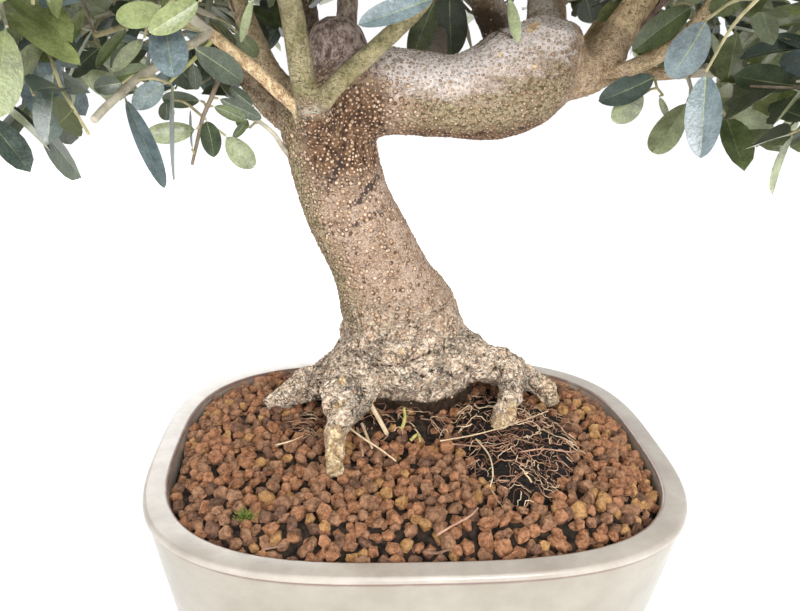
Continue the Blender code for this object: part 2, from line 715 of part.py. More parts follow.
def grow_mass(crown, mass, root, heading, stem_radius, targets):
    """Twigs of one mass as (points, radii), grown from its stem to every tip it can reach."""
    start = root + heading * TOUCH_GAP
    nodes = [(start, heading, 0.0), (start + heading * STEM_LEAD, heading, STEM_LEAD)]
    parents = [None, 0]
    chains = []
    for target in sorted(targets, key=lambda point: (point - root).length):
        found = free_path(crown, mass, nodes, target)
        if found is None:
            continue
        foot, path = found
        way = nodes[foot][2]
        chain = [foot]
        for before, after in zip(path[:-1], path[1:]):
            way += (after - before).length
            parents.append(chain[-1])
            nodes.append((after, (after - before).normalized(), way))
            chain.append(len(nodes) - 1)
        chains.append(chain)

    carried = [0] * len(nodes)
    for chain in chains:
        node = chain[-1]
        while node is not None:
            carried[node] += 1
            node = parents[node]
    twigs = []
    for order, chain in enumerate(chains):
        if order == 0:
            chain = [0] + chain
        points = [nodes[node][0] for node in chain]
        radii = [TWIG_TIP_RADIUS * carried[node] ** TWIG_GROWTH for node in chain]
        if order == 0:
            radii[0] = stem_radius
            radii[1] = max(radii[1], STEM_TAPER * stem_radius)
        else:
            radii[0] = min(FORK_SHARE * radii[0], radii[1])
        twigs.append((points, radii))
    return twigs


def leaf_corners(root, direction, face, scale):
    """Six corners of a leaf: root, tip, two sides and the thick middle above and below."""
    across = direction.cross(face).normalized()
    up = across.cross(direction).normalized()
    length = LEAF_LENGTH * scale
    middle = root + direction * LEAF_WIDEST * length
    sides = across * 0.5 * LEAF_WIDTH * scale
    thick = root + direction * LEAF_THICKEST * length
    rise = up * 0.5 * LEAF_THICKNESS
    return [root, root + direction * length, middle + sides, middle - sides, thick + rise, thick - rise]


def leaf_solid(corners):
    mesh_data = bmesh.new()
    root, tip, left, right, top, bottom = [mesh_data.verts.new(corner) for corner in corners]
    for first, second in ((root, left), (left, tip), (tip, right), (right, root)):
        mesh_data.faces.new((first, second, top))
        mesh_data.faces.new((second, first, bottom))
    return mesh_data


def leaf_stations(points):
    """Where leaves leave a twig: its end, and a pair behind the end."""
    end = points[-1]
    heading = (end - points[-2]).normalized()
    yield end, heading, (0.0,)
    for pair in range(1, LEAF_PAIRS + 1):
        yield end - heading * LEAF_SPACING * pair, heading, (-1.0, 1.0)


def leaf_direction(heading, side, roll, attempt, dice):
    """Direction of one leaf: straight on at a twig's end, and spread to either side before it."""
    around = Quaternion(heading, roll) @ heading.orthogonal().normalized()
    if side:
        spread = LEAF_SPREAD * (1.0 + SPREAD_JITTER * dice.uniform(-1.0, 1.0))
        return heading * math.cos(spread) + around * side * math.sin(spread)
    spread = END_SPREAD * dice.random() + END_STEP * attempt
    return heading * math.cos(spread) + around * math.sin(spread)


def leaf_fits(crown, mass, corners, spines):
    """True where a leaf stays in its mass's space, off the limbs and apart from other leaves."""
    tested = [*corners[1:], corners[0].lerp(corners[1], 0.5)]
    if not all(crown.holds(corner, mass) for corner in tested):
        return False
    if not all(crown.clear_of_limbs(corner, LIMB_CLEARANCE) for corner in tested):
        return False
    spine = [corners[0].lerp(corners[1], share) for share in SPINE_SHARES]
    if any((own - other).length < LEAF_GAP for own in spine for other in spines):
        return False
    spines.extend(spine)
    return True


def grow_leaves(crown, mass, twigs, dice):
    """Leaves of one mass: each is tried in a few directions and left out where none is free."""
    leaves = []
    spines = []
    for points, _ in twigs:
        turn = dice.uniform(0.0, math.pi)
        for station, heading, sides in leaf_stations(points):
            for side in sides:
                for attempt in range(LEAF_TRIES):
                    roll = turn + dice.gauss(0.0, ROLL_JITTER) + ROLL_STEP * attempt
                    direction = leaf_direction(heading, side, roll, attempt, dice)
                    face = Vector((0.0, 0.0, 1.0)) + Vector([dice.gauss(0.0, FACE_TILT) for _ in range(3)])
                    scale = dice.uniform(*LEAF_SCALES)
                    corners = leaf_corners(station - heading * LEAF_SINK, direction, face, scale)
                    if leaf_fits(crown, mass, corners, spines):
                        leaves.append(corners)
                        break
    return leaves


def make_mass(crown, mass, tip, targets, bark, leaf_green, dice):
    """One foliage mass: twigs and leaves fused into a single solid."""
    name = crown.names[mass]
    root, heading, radius = tip
    twigs = grow_mass(crown, mass, root, heading, radius, targets)
    leaves = grow_leaves(crown, mass, twigs, dice)
    solids = [make_object("twig", tube(points, radii, TWIG_SIDES), bark) for points, radii in twigs]
    solids += [make_object("leaf", leaf_solid(corners), leaf_green) for corners in leaves]
    base = make_object("leaves_" + name, tube(*twigs[0], TWIG_SIDES), leaf_green)
    bpy.data.objects.remove(solids.pop(0), do_unlink=True)
    fuse(base, solids)
    print(base.name, "twigs", len(twigs), "leaves", len(leaves))
    return base


def main():
    clear_scene()
    glaze = make_material("cream_glaze", (0.68, 0.62, 0.50), 0.35)
    gravel = make_material("reddish_gravel", (0.23, 0.11, 0.06), 0.95)
    peat_black = make_material("dark_peat", (0.03, 0.025, 0.02), 0.95)
    bark = make_material("olive_bark", (0.40, 0.32, 0.25), 0.85)
    young_bark = make_material("young_bark", (0.36, 0.33, 0.24), 0.80)
    leaf_green = make_material("olive_leaf", (0.13, 0.19, 0.13), 0.50)

    make_pot(glaze)
    make_soil(gravel)
    tips, limbs, under_peat = make_limbs(bark, young_bark)
    make_peat(peat_black, under_peat)

    crown = Crown(limbs, tips)
    dice = random.Random(SEED)
    targets = scatter_tips(crown, dice)
    for mass, name in enumerate(crown.names):
        make_mass(crown, mass, tips[name], targets[mass], young_bark, leaf_green, dice)
    total = 0
    for item in bpy.data.objects:
        item.data.calc_loop_triangles()
        total += len(item.data.loop_triangles)
    print("objects", len(bpy.data.objects), "triangles", total)


main()
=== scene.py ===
# %% [markdown]
# # Dressing an olive bonsai
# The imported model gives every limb, foliage mass, the pot and the soil at its real place and size.
# This lesson dresses them: glaze on the pot, loose gravel, bark with its corky warts, and a crown of
# separate leaves. Each step says what the real thing is, how it could be made, and why one way was taken.

import itertools
import math
import random

import bmesh
import bpy
import numpy as np
from mathutils import Matrix, Quaternion, Vector, kdtree, noise
from mathutils.bvhtree import BVHTree


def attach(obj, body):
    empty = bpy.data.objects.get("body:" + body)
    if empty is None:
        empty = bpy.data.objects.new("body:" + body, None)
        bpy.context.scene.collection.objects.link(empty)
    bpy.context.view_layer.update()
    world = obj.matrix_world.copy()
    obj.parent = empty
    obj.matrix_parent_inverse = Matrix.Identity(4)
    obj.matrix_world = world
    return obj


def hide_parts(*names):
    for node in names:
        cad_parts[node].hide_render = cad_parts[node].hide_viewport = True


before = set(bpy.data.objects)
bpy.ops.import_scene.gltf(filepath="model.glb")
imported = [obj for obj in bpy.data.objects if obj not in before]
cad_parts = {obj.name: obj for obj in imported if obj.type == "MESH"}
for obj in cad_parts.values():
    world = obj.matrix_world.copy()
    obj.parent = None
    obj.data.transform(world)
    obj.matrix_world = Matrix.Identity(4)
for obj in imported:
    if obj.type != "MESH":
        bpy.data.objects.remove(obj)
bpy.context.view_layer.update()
print("nodes in the frame:", len(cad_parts))

# %% [markdown]
# ## Camera
# The plant is seen from a little above the fork, close in front of the crown, so the pot's rim shows as
# a deep curve. A camera can be aimed with a Track To constraint, but its slight roll is easier to give
# as three axes in a matrix. The same axes then tell where a spot in the picture lies in the room.

# %% Camera
PICTURE_WIDTH = 800
PICTURE_HEIGHT = 611
FOCAL_LENGTH_IN_PIXELS = 758
SENSOR_WIDTH = 36.0
CAMERA_PLACE = Vector((-0.0338, -0.3304, 0.2807))
CAMERA_AIM = Vector((0.0721, 0.9345, -0.3486)).normalized()
CAMERA_ROLL = math.radians(1.66)

level_right = CAMERA_AIM.cross(Vector((0.0, 0.0, 1.0))).normalized()
level_up = level_right.cross(CAMERA_AIM)
camera_right = level_right * math.cos(CAMERA_ROLL) + level_up * math.sin(CAMERA_ROLL)
camera_up = level_up * math.cos(CAMERA_ROLL) - level_right * math.sin(CAMERA_ROLL)


def ray_through(column, row):
    """Direction from the camera through a spot in the picture."""
    across = camera_right * (column - PICTURE_WIDTH / 2)
    down = camera_up * (PICTURE_HEIGHT / 2 - row)
    return (CAMERA_AIM * FOCAL_LENGTH_IN_PIXELS + across + down).normalized()


def place_at(column, row, depth):
    """Point seen at a spot in the picture, on the upright plane at that depth (its Y)."""
    ray = ray_through(column, row)
    return CAMERA_PLACE + ray * ((depth - CAMERA_PLACE.y) / ray.y)


def seen_at(points):
    """Column and row in the picture, and distance ahead of the camera, for an array of points."""
    offsets = np.asarray(points, float).reshape(-1, 3) - np.array(CAMERA_PLACE)
    ahead = offsets @ np.array(CAMERA_AIM)
    scale = FOCAL_LENGTH_IN_PIXELS / np.maximum(ahead, 0.001)
    columns = PICTURE_WIDTH / 2 + offsets @ np.array(camera_right) * scale
    rows = PICTURE_HEIGHT / 2 - offsets @ np.array(camera_up) * scale
    return columns, rows, ahead


camera = bpy.data.objects.new("camera", bpy.data.cameras.new("camera"))
camera.data.sensor_width = SENSOR_WIDTH
camera.data.lens = FOCAL_LENGTH_IN_PIXELS / PICTURE_WIDTH * SENSOR_WIDTH
camera.data.clip_start = 0.01
camera_axes = Matrix((camera_right, camera_up, -CAMERA_AIM)).transposed()
camera.matrix_world = Matrix.Translation(CAMERA_PLACE) @ camera_axes.to_4x4()
bpy.context.scene.collection.objects.link(camera)
bpy.context.scene.camera = camera
print("camera:", tuple(round(value, 4) for value in camera.location), "lens", round(camera.data.lens, 2))

# %% [markdown]
# ## Studio
# Product pictures like this are lit by a bright white room and large soft lamps. The room gives most of
# the light, so that it gets in under the crown. The key lamp stands in front on the right, others hang on
# the left, overhead and behind, and a narrow one is aimed at the boughs in the crown's shade. A white
# disc that glows a little is the floor. The Standard view keeps colours as set.

# %% Studio
ROOM_BRIGHTNESS = 1.12
BACKDROP_BRIGHTNESS = 1.0  # the room as the camera sees it, against what it lights the plant with
LAMPS = {
    "key_lamp": dict(place=(0.3, -1.1, 0.66), size=0.45, watts=12.0),
    "fill_lamp": dict(place=(-0.9, -1.0, 0.6), size=0.9, watts=5.5),
    "top_lamp": dict(place=(0.2, -0.3, 1.5), size=0.7, watts=14.0),
    "back_lamp": dict(place=(-0.3, 1.2, 0.7), size=0.9, watts=9.0),
}
SPOT = dict(place=(0.14, -1.15, 0.58), aim=(0.01, 0.03, 0.285), radius=0.1, watts=28.0, soft_edge=0.8)
SPOT_WIDTH = math.radians(22)
PLANT_MIDDLE = Vector((0.0, 0.02, 0.2))
FLOOR_RADIUS = 6.0
FLOOR_SIDES = 96
FLOOR_DROP = 0.0002
FLOOR_GLOW = 0.05

bpy.context.scene.view_settings.view_transform = "Standard"
room = bpy.data.worlds.new("room")
room.use_nodes = True
backdrop = room.node_tree.nodes["Background"]
backdrop.inputs["Color"].default_value = (1.0, 1.0, 1.0, 1.0)
seen_directly = room.node_tree.nodes.new("ShaderNodeLightPath").outputs["Is Camera Ray"]
brightness = room.node_tree.nodes.new("ShaderNodeMapRange")
brightness.inputs["To Min"].default_value = ROOM_BRIGHTNESS
brightness.inputs["To Max"].default_value = BACKDROP_BRIGHTNESS
room.node_tree.links.new(seen_directly, brightness.inputs["Value"])
room.node_tree.links.new(brightness.outputs["Result"], backdrop.inputs["Strength"])
bpy.context.scene.world = room


def add_object(name, data):
    item = bpy.data.objects.new(name, data)
    bpy.context.scene.collection.objects.link(item)
    return item


def hang_lamp(light, place, aim):
    item = add_object(light.name, light)
    item.location = place
    item.rotation_euler = (Vector(aim) - item.location).to_track_quat("-Z", "Y").to_euler()


for name, lamp in LAMPS.items():
    panel = bpy.data.lights.new(name, "AREA")
    panel.size = lamp["size"]
    panel.energy = lamp["watts"]
    hang_lamp(panel, lamp["place"], PLANT_MIDDLE)
snoot = bpy.data.lights.new("bough_lamp", "SPOT")
snoot.energy = SPOT["watts"]
snoot.shadow_soft_size = SPOT["radius"]
snoot.spot_size = SPOT_WIDTH
snoot.spot_blend = SPOT["soft_edge"]
hang_lamp(snoot, SPOT["place"], SPOT["aim"])

disc = bmesh.new()
bmesh.ops.create_circle(disc, cap_ends=True, segments=FLOOR_SIDES, radius=FLOOR_RADIUS)
floor_mesh = bpy.data.meshes.new("floor")
disc.to_mesh(floor_mesh)
disc.free()
floor = add_object("floor", floor_mesh)
floor.location.z = -FLOOR_DROP
print("lamps:", ", ".join(LAMPS), "and a floor", 2 * FLOOR_RADIUS, "m across")

# %% [markdown]
# ## Materials with nodes
# Every finish here is a Principled shader whose colour wanders between a few tones, with a bump from
# noise at the right scale. Image textures would need unwrapping, and noise in object space doesn't.
# The helper below mixes tones by a noise, and the later cells add what is special to a finish.
# Twigs, straws and other small things need just two tones and a bump, so they share a second helper.

# %% Helpers for materials
MILLIMETRE = 0.001
COAT_ROUGHNESS = 0.2
FLOOR_TONES = ((0.85, 0.85, 0.85), (0.88, 0.88, 0.88))


class Finish:
    """A node material under construction."""

    def __init__(self, name, roughness, coat=0.0, specular=0.5):
        self.material = bpy.data.materials.new(name)
        self.material.use_nodes = True
        self.tree = self.material.node_tree
        self.shader = self.tree.nodes["Principled BSDF"]
        looks = {"Roughness": roughness, "Specular IOR Level": specular, "Coat Weight": coat}
        looks["Coat Roughness"] = COAT_ROUGHNESS
        for socket, value in looks.items():
            self.shader.inputs[socket].default_value = value
        self.place = self.tree.nodes.new("ShaderNodeTexCoord").outputs["Object"]

    def node(self, kind, inputs, **settings):
        """A node whose inputs are fed by plain values or by other nodes' outputs."""
        made = self.tree.nodes.new(kind)
        for key, value in settings.items():
            setattr(made, key, value)
        for socket, value in inputs.items():
            if isinstance(value, bpy.types.NodeSocket):
                self.tree.links.new(value, made.inputs[socket])
            else:
                made.inputs[socket].default_value = value
        return made

    def noise(self, size, detail=4.0, roughness=0.55, stretch=None, twist=0.0):
        """Noise whose blotches are about this size, in metres."""
        inputs = {"Scale": 1.0 / size, "Detail": detail, "Roughness": roughness, "Distortion": twist}
        return self.node("ShaderNodeTexNoise", {"Vector": self.stretched(stretch), **inputs}).outputs["Fac"]

    def cells(self, size):
        """Distance in a pattern of cells of about this size."""
        inputs = {"Scale": 1.0 / size, "Vector": self.place}
        return self.node("ShaderNodeTexVoronoi", inputs).outputs["Distance"]

    def stretched(self, stretch):
        if stretch is None:
            return self.place
        return self.node("ShaderNodeMapping", {"Vector": self.place, "Scale": stretch}).outputs["Vector"]

    def attribute(self, name):
        return self.node("ShaderNodeAttribute", {}, attribute_name=name).outputs["Fac"]

    def ramp(self, value, low, high):
        """0 under low, 1 over high, and even in between."""
        inputs = {"Value": value, "From Min": low, "From Max": high}
        return self.node("ShaderNodeMapRange", inputs).outputs["Result"]

    def math(self, operation, *values):
        return self.node("ShaderNodeMath", dict(enumerate(values)), operation=operation).outputs["Value"]

    def times(self, first, second):
        return self.math("MULTIPLY", first, second)

    def plus(self, first, second):
        return self.math("ADD", first, second)

    def mix(self, share, first, second):
        """Colour mixed from two tones or outputs."""
        first, second = ((*tone, 1.0) if isinstance(tone, tuple) else tone for tone in (first, second))
        return self.node("ShaderNodeMix", {"Factor": share, 6: first, 7: second}, data_type="RGBA").outputs[2]

    def colour(self, output):
        self.tree.links.new(output, self.shader.inputs["Base Color"])

    def two_toned(self, size, tones, detail=4.0, low=0.35, high=0.65):
        """Blotches of a dark and a light tone."""
        self.colour(self.mix(self.ramp(self.noise(size, detail), low, high), *tones))

    def creases(self, size, width, twist, stretch):
        """1 in thin winding lines, 0 away from them."""
        away = self.math("SUBTRACT", self.noise(size, 3.0, 0.5, stretch, twist), 0.5)
        return self.ramp(self.math("ABSOLUTE", away), width, 0.0)

    def bump(self, height, depth, after=None, inward=False):
        """Relief of this depth in metres, on top of another where one is given."""
        inputs = {"Distance": depth, "Height": height}
        if after is not None:
            inputs["Normal"] = after
        relief = self.node("ShaderNodeBump", inputs, invert=inward).outputs["Normal"]
        self.tree.links.new(relief, self.shader.inputs["Normal"])
        return relief


def toned_materials(tones, size, relief_size, depth, roughness=0.8, specular=0.3, detail=4.0, stretch=None):
    """A finish with fine relief for each named dark and light tone, which stand last in their row."""
    materials = []
    for name, row in tones.items():
        finish = Finish(name, roughness=roughness, specular=specular)
        finish.two_toned(size, row[-2:], detail)
        finish.bump(finish.noise(relief_size, stretch=stretch), depth)
        materials.append(finish.material)
    return materials


floor_finish = Finish("studio_white", roughness=0.9)
floor_finish.colour(floor_finish.mix(floor_finish.noise(0.3), *FLOOR_TONES))
floor_finish.shader.inputs["Emission Color"].default_value = (1.0, 1.0, 1.0, 1.0)
floor_finish.shader.inputs["Emission Strength"].default_value = FLOOR_GLOW
floor_mesh.materials.append(floor_finish.material)

# %% [markdown]
# ## Meshes from arrays
# Gravel, warts and leaves are thousands of small things. Instances would keep the file light, but they
# are lost when the model is exported, so each kind is written as one joined mesh: the points of a shape
# are turned and moved by arrays of matrices in one go, which is also far quicker than a loop of objects.

# %% Helpers for meshes
SMOOTH_ANGLE = math.radians(50)


def mesh_object(name, points, face_groups, materials, paints=None, sharp_angle=None):
    """An object from an array of points and arrays of faces, each array with one number of corners."""
    mesh = bpy.data.meshes.new(name)
    mesh.vertices.add(len(points))
    mesh.vertices.foreach_set("co", np.asarray(points, np.float32).ravel())
    corners = np.concatenate([faces.ravel() for faces in face_groups]).astype(np.int32)
    sizes = np.concatenate([np.full(len(faces), faces.shape[1]) for faces in face_groups])
    mesh.loops.add(len(corners))
    mesh.loops.foreach_set("vertex_index", corners)
    mesh.polygons.add(len(sizes))
    starts = np.concatenate([[0], np.cumsum(sizes)[:-1]]).astype(np.int32)
    mesh.polygons.foreach_set("loop_start", starts)
    mesh.polygons.foreach_set("use_smooth", np.ones(len(sizes), bool))
    if paints is not None:
        mesh.polygons.foreach_set("material_index", np.asarray(paints, np.int32))
    mesh.update(calc_edges=True)
    for material in materials:
        mesh.materials.append(material)
    if sharp_angle is not None:
        mesh.set_sharp_from_angle(angle=sharp_angle)
    return add_object(name, mesh)


def copied_points(shape, turns, places):
    """Points of many copies of a shape: each is turned by its matrix and put in its place."""
    return (np.einsum("mij,nj->mni", turns, shape) + places[:, None, :]).reshape(-1, 3)


def copied_faces(faces, count, points_each):
    offsets = np.arange(count)[:, None, None] * points_each
    return (faces[None] + offsets).reshape(-1, faces.shape[1])


def set_field(item, name, values):
    """Keep one number for each point of a mesh, for its material to read."""
    field = item.data.attributes.new(name, "FLOAT", "POINT")
    field.data.foreach_set("value", np.asarray(values, np.float32))


def read_rows(items, name, width, kind=np.float32):
    """One property of all the points, edges or faces of a mesh, as rows this wide."""
    values = np.empty(len(items) * width, kind)
    items.foreach_get(name, values)
    return values.reshape(-1, width)


def triangles_of(item):
    item.data.calc_loop_triangles()
    return read_rows(item.data.loop_triangles, "vertices", 3, np.int32)


def tree_of(places):
    """A search tree that finds the nearest of these places."""
    tree = kdtree.KDTree(len(places))
    for index, place in enumerate(places):
        tree.insert(place, index)
    tree.balance()
    return tree


def dress(item, slot, *nodes):
    """Hang a finished piece on the frame, hide the nodes it stands for and print its triangle count."""
    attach(item, "root")
    if nodes:
        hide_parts(*nodes)
    print(item.name, "-", len(triangles_of(item)), "triangles")


def smooth_step(values, low, high):
    share = np.clip((values - low) / (high - low), 0.0, 1.0)
    return share * share * (3.0 - 2.0 * share)


def lattice_faces(rows, columns, closed=True):
    """Quads of a grid of points kept row by row, joined round its columns where closed."""
    first = np.arange(rows - 1)[:, None] * columns
    reach = columns if closed else columns - 1
    here = np.arange(reach)[None, :]
    following = (here + 1) % columns
    next_row = first + columns
    corners = [first + here, first + following, next_row + following, next_row + here]
    return np.stack(corners, -1).reshape(-1, 4)


def ringed_object(name, rings):
    """An object from closed rings of points, one after another, with a cap at both ends."""
    each = len(rings[0])
    bottom = np.arange(each)[::-1][None]
    top = (np.arange(each) + (len(rings) - 1) * each)[None]
    return mesh_object(name, np.concatenate(rings), [lattice_faces(len(rings), each), bottom, top], [])


# %% [markdown]
# ## Pot
# A thrown and pressed bonsai pot: rounded corners, walls that draw in towards a small foot, and a heavy
# rounded lip. A lathe can't follow the soft rectangle, so rings of a superellipse are joined up the wall,
# the same curve as the solid's with five times its points, and noise moves them a little, as hands do.
# Two drain holes are cut through the floor afterwards.

# %% Pot
POT_WIDTH = 0.25
POT_DEPTH = 0.2
POT_HEIGHT = 0.085
CORNER_POWER = 3.1
LIP_WIDTH = 0.0105
LIP_HEIGHT = 0.0042
LIP_ROUND = 0.0019
LIP_STEP = 0.0013
WALL_DRAFT = 0.0115
WALL_BELLY = 0.45
FLOOR_THICKNESS = 0.009
FOOT_HEIGHT = 0.009
FOOT_STEP = 0.0022
FOOT_BEVEL = 0.0012
DRAIN_RADIUS = 0.0065
DRAIN_OFFSET = 0.055
POT_SEGMENTS = 240
HAND_WOBBLE = 0.0022  # how far the clay strays from its curve, as a share of its distance
HAND_WAVES = 22.0
WALL_RINGS = 9
ARC_STEPS = 6
WEAR_SPREAD = 1.5  # how far round an edge its glaze is worn
UPPER_EDGE_WEAR, INNER_EDGE_WEAR = 0.12, 0.75


def pot_ring(inset, segments=POT_SEGMENTS):
    """Points round the pot, the given distance inside its widest outline."""
    angles = math.tau * (np.arange(segments) + 0.5) / segments
    across = np.abs(np.cos(angles) / (0.5 * POT_WIDTH - inset)) ** CORNER_POWER
    along = np.abs(np.sin(angles) / (0.5 * POT_DEPTH - inset)) ** CORNER_POWER
    radii = (across + along) ** (-1.0 / CORNER_POWER)
    return np.stack([radii * np.cos(angles), radii * np.sin(angles)], -1)


def inner_inset(height):
    return LIP_WIDTH + (POT_HEIGHT - height) / POT_HEIGHT * WALL_DRAFT


def quarter_round(inset, height, start_turn):
    """Profile points of a rounded lip edge about its centre, each with how worn its glaze is."""
    points = []
    for step in range(ARC_STEPS + 1):
        turn = math.radians(start_turn + 90.0 * step / ARC_STEPS)
        worn = min(1.0, WEAR_SPREAD * math.sin(math.pi * step / ARC_STEPS))
        points.append((inset - LIP_ROUND * math.cos(turn), height + LIP_ROUND * math.sin(turn), worn))
    return points


def pot_profile():
    """(inset, height, wear) from the foot, up the outside, over the lip and down to the floor."""
    wall_top = POT_HEIGHT - LIP_HEIGHT
    foot = WALL_DRAFT + FOOT_STEP + LIP_STEP
    profile = [(foot + FOOT_BEVEL, 0.0, 0.8), (foot, FOOT_BEVEL, 0.5), (foot, FOOT_HEIGHT - FOOT_STEP, 0.1)]
    for ring in range(WALL_RINGS + 1):
        share = ring / WALL_RINGS
        draft = (1.0 - share) ** 2 + 2.0 * share * (1.0 - share) * WALL_BELLY
        height = FOOT_HEIGHT + (wall_top - LIP_STEP - FOOT_HEIGHT) * share
        profile.append((draft * WALL_DRAFT + LIP_STEP, height, 0.0))
    profile += quarter_round(LIP_ROUND, wall_top + LIP_ROUND, -90.0)[1:]
    upper_edge = quarter_round(LIP_ROUND, POT_HEIGHT - LIP_ROUND, 0.0)
    profile += [(inset, height, UPPER_EDGE_WEAR * worn) for inset, height, worn in upper_edge]
    profile.append((0.5 * LIP_WIDTH, POT_HEIGHT + 0.1 * MILLIMETRE, 0.0))
    for inset, height, worn in upper_edge[::-1]:
        profile.append((LIP_WIDTH - inset, height, INNER_EDGE_WEAR * worn))
    profile.append((inner_inset(0.5 * POT_HEIGHT), 0.5 * POT_HEIGHT, 0.0))
    profile.append((inner_inset(FLOOR_THICKNESS), FLOOR_THICKNESS, 0.0))
    return profile


def make_pot():
    profile = pot_profile()
    rings = []
    for inset, height, _ in profile:
        ring = pot_ring(inset)
        rings.append(np.column_stack([ring, np.full(len(ring), height)]))
    points = np.concatenate(rings)
    for index, point in enumerate(points):
        if point[2] > FOOT_BEVEL:
            points[index, :2] *= 1.0 + HAND_WOBBLE * noise.noise(Vector(point) * HAND_WAVES)
    pot = ringed_object("glazed_pot", np.split(points, len(profile)))
    set_field(pot, "wear", np.repeat([worn for _, _, worn in profile], POT_SEGMENTS))
    set_field(pot, "lip", smooth_step(points[:, 2], POT_HEIGHT - LIP_HEIGHT, POT_HEIGHT - LIP_ROUND))
    for side in (-1, 1):
        drill = bmesh.new()
        bmesh.ops.create_cone(drill, cap_ends=True, segments=32, radius1=DRAIN_RADIUS, radius2=DRAIN_RADIUS,
                              depth=4.0 * FLOOR_THICKNESS)
        bmesh.ops.translate(drill, vec=(side * DRAIN_OFFSET, 0.0, 0.0), verts=drill.verts)
        drill_mesh = bpy.data.meshes.new("drill")
        drill.to_mesh(drill_mesh)
        drill.free()
        cutter = add_object("drill", drill_mesh)
        hole = pot.modifiers.new("hole", "BOOLEAN")
        hole.operation = "DIFFERENCE"
        hole.object = cutter
        apply_modifiers(pot)
        bpy.data.objects.remove(cutter, do_unlink=True)
    pot.data.shade_smooth()
    pot.data.set_sharp_from_angle(angle=SMOOTH_ANGLE)
    return pot


def apply_modifiers(item):
    finished = bpy.data.meshes.new_from_object(item.evaluated_get(bpy.context.evaluated_depsgraph_get()))
    item.modifiers.clear()
    old_mesh = item.data
    item.data = finished
    bpy.data.meshes.remove(old_mesh)


pot = make_pot()

# %% [markdown]
# ### Glaze
# A cream glaze, thick and a little cloudy, with fine iron specks. Where it runs thin over a sharp edge,
# the pinkish brown clay shows. The edge is known while the profile is built, so each ring kept its wear
# as a field on the mesh, and the material breaks that line up with noise.

# %% Glaze
GLAZE_TONES = ((0.25, 0.224, 0.181), (0.302, 0.274, 0.227))
LIP_TONES = ((0.3, 0.262, 0.222), (0.39, 0.35, 0.305))
CLAY_TONE = (0.145, 0.076, 0.055)
SPECK_TONE = (0.25, 0.18, 0.125)


def make_glaze():
    glaze = Finish("cream_glaze", roughness=0.32, coat=0.35)
    clouds = glaze.ramp(glaze.noise(0.018, detail=6.0, roughness=0.6), 0.35, 0.65)
    cloudy = glaze.mix(glaze.attribute("lip"), glaze.mix(clouds, *GLAZE_TONES), glaze.mix(clouds, *LIP_TONES))
    specks = glaze.ramp(glaze.cells(0.0032), 0.12, 0.05)
    rare = glaze.ramp(glaze.noise(0.006), 0.54, 0.62)
    speckled = glaze.mix(glaze.times(specks, rare), cloudy, SPECK_TONE)
    broken = glaze.ramp(glaze.noise(0.007, detail=5.0), 0.22, 0.5)
    thin = glaze.ramp(glaze.plus(glaze.attribute("wear"), glaze.times(broken, 0.35)), 0.55, 1.15)
    glaze.colour(glaze.mix(thin, speckled, CLAY_TONE))
    grain = glaze.bump(glaze.noise(0.0018, detail=3.0), 0.06 * MILLIMETRE)
    glaze.bump(glaze.noise(0.011, detail=3.0), 0.35 * MILLIMETRE, after=grain)
    return glaze.material


pot.data.materials.append(make_glaze())
dress(pot, "glaze", "pot")

# %% [markdown]
# ## Limbs
# The plant's limbs are the same routes and radii as the solids have: a few points each, with a smooth
# curve through them. They are written again here, in millimetres, because all that follows grows on them.

# %% Limb routes
GROUND = 0.091
def in_metres(values):
    """Spots or sizes given in millimetres, as metres."""
    return [in_metres(value) if isinstance(value, tuple) else value / 1000 for value in values]


def tapered(count, foot, tip):
    """This many radii, falling evenly from foot to tip."""
    return [foot + (tip - foot) * index / (count - 1) for index in range(count)]


def limb(route, radii):
    return dict(route=in_metres(route), radii=in_metres(radii))


def bough(route, foot, tip, mass):
    """A bough, and the middle of the foliage mass that it carries."""
    radii = tapered(len(route), foot, tip)
    return dict(route=in_metres(route), radii=in_metres(radii), mass=in_metres(mass))


TRUNK = limb([(4, 56, 74), (1, 52, 104), (-5.5, 47, 134), (-12, 45, 151), (-19, 43, 168),
        (-33, 42, 196.5), (-40, 42, 221), (-44, 42, 242), (-46, 43, 257)],
        [34, 36.5, 32, 26.2, 23, 22, 21.7, 22.5, 17])
RIGHT_BOUGH = limb([(-36, 41.5, 244), (-22, 40.5, 249.5), (-8, 40, 250.5), (16, 40, 248.5),
        (34, 40, 251), (47, 39, 257.5), (56, 35, 266.5), (59.5, 31, 276), (60.5, 29, 283.5)],
        [19, 20.8, 20, 19, 22.8, 24.8, 22.5, 17.5, 11])
RIGHT_ARM = limb([(50, 40, 257), (66, 39, 262.5), (78, 38.5, 262), (85, 38.5, 265), (90.5, 39, 273.5)],
        [20.5, 16.5, 12.2, 10.2, 9.5])
STUMP = limb([(-42, 44, 238), (-39, 50, 259), (-38, 51, 271), (-38, 51, 279), (-38, 51, 283.2)],
        [17, 16, 15.2, 11.2, 5])
COLLAR = limb([(-44, 32, 232), (-47.5, 21, 240), (-48.8, 13, 247)], [12, 10.5, 6.8])
BURL = limb([(-28, 30, 116), (-8, 25, 114.5), (12, 26, 116.5), (26, 33, 118.5)], [9.5, 14.2, 14, 10])
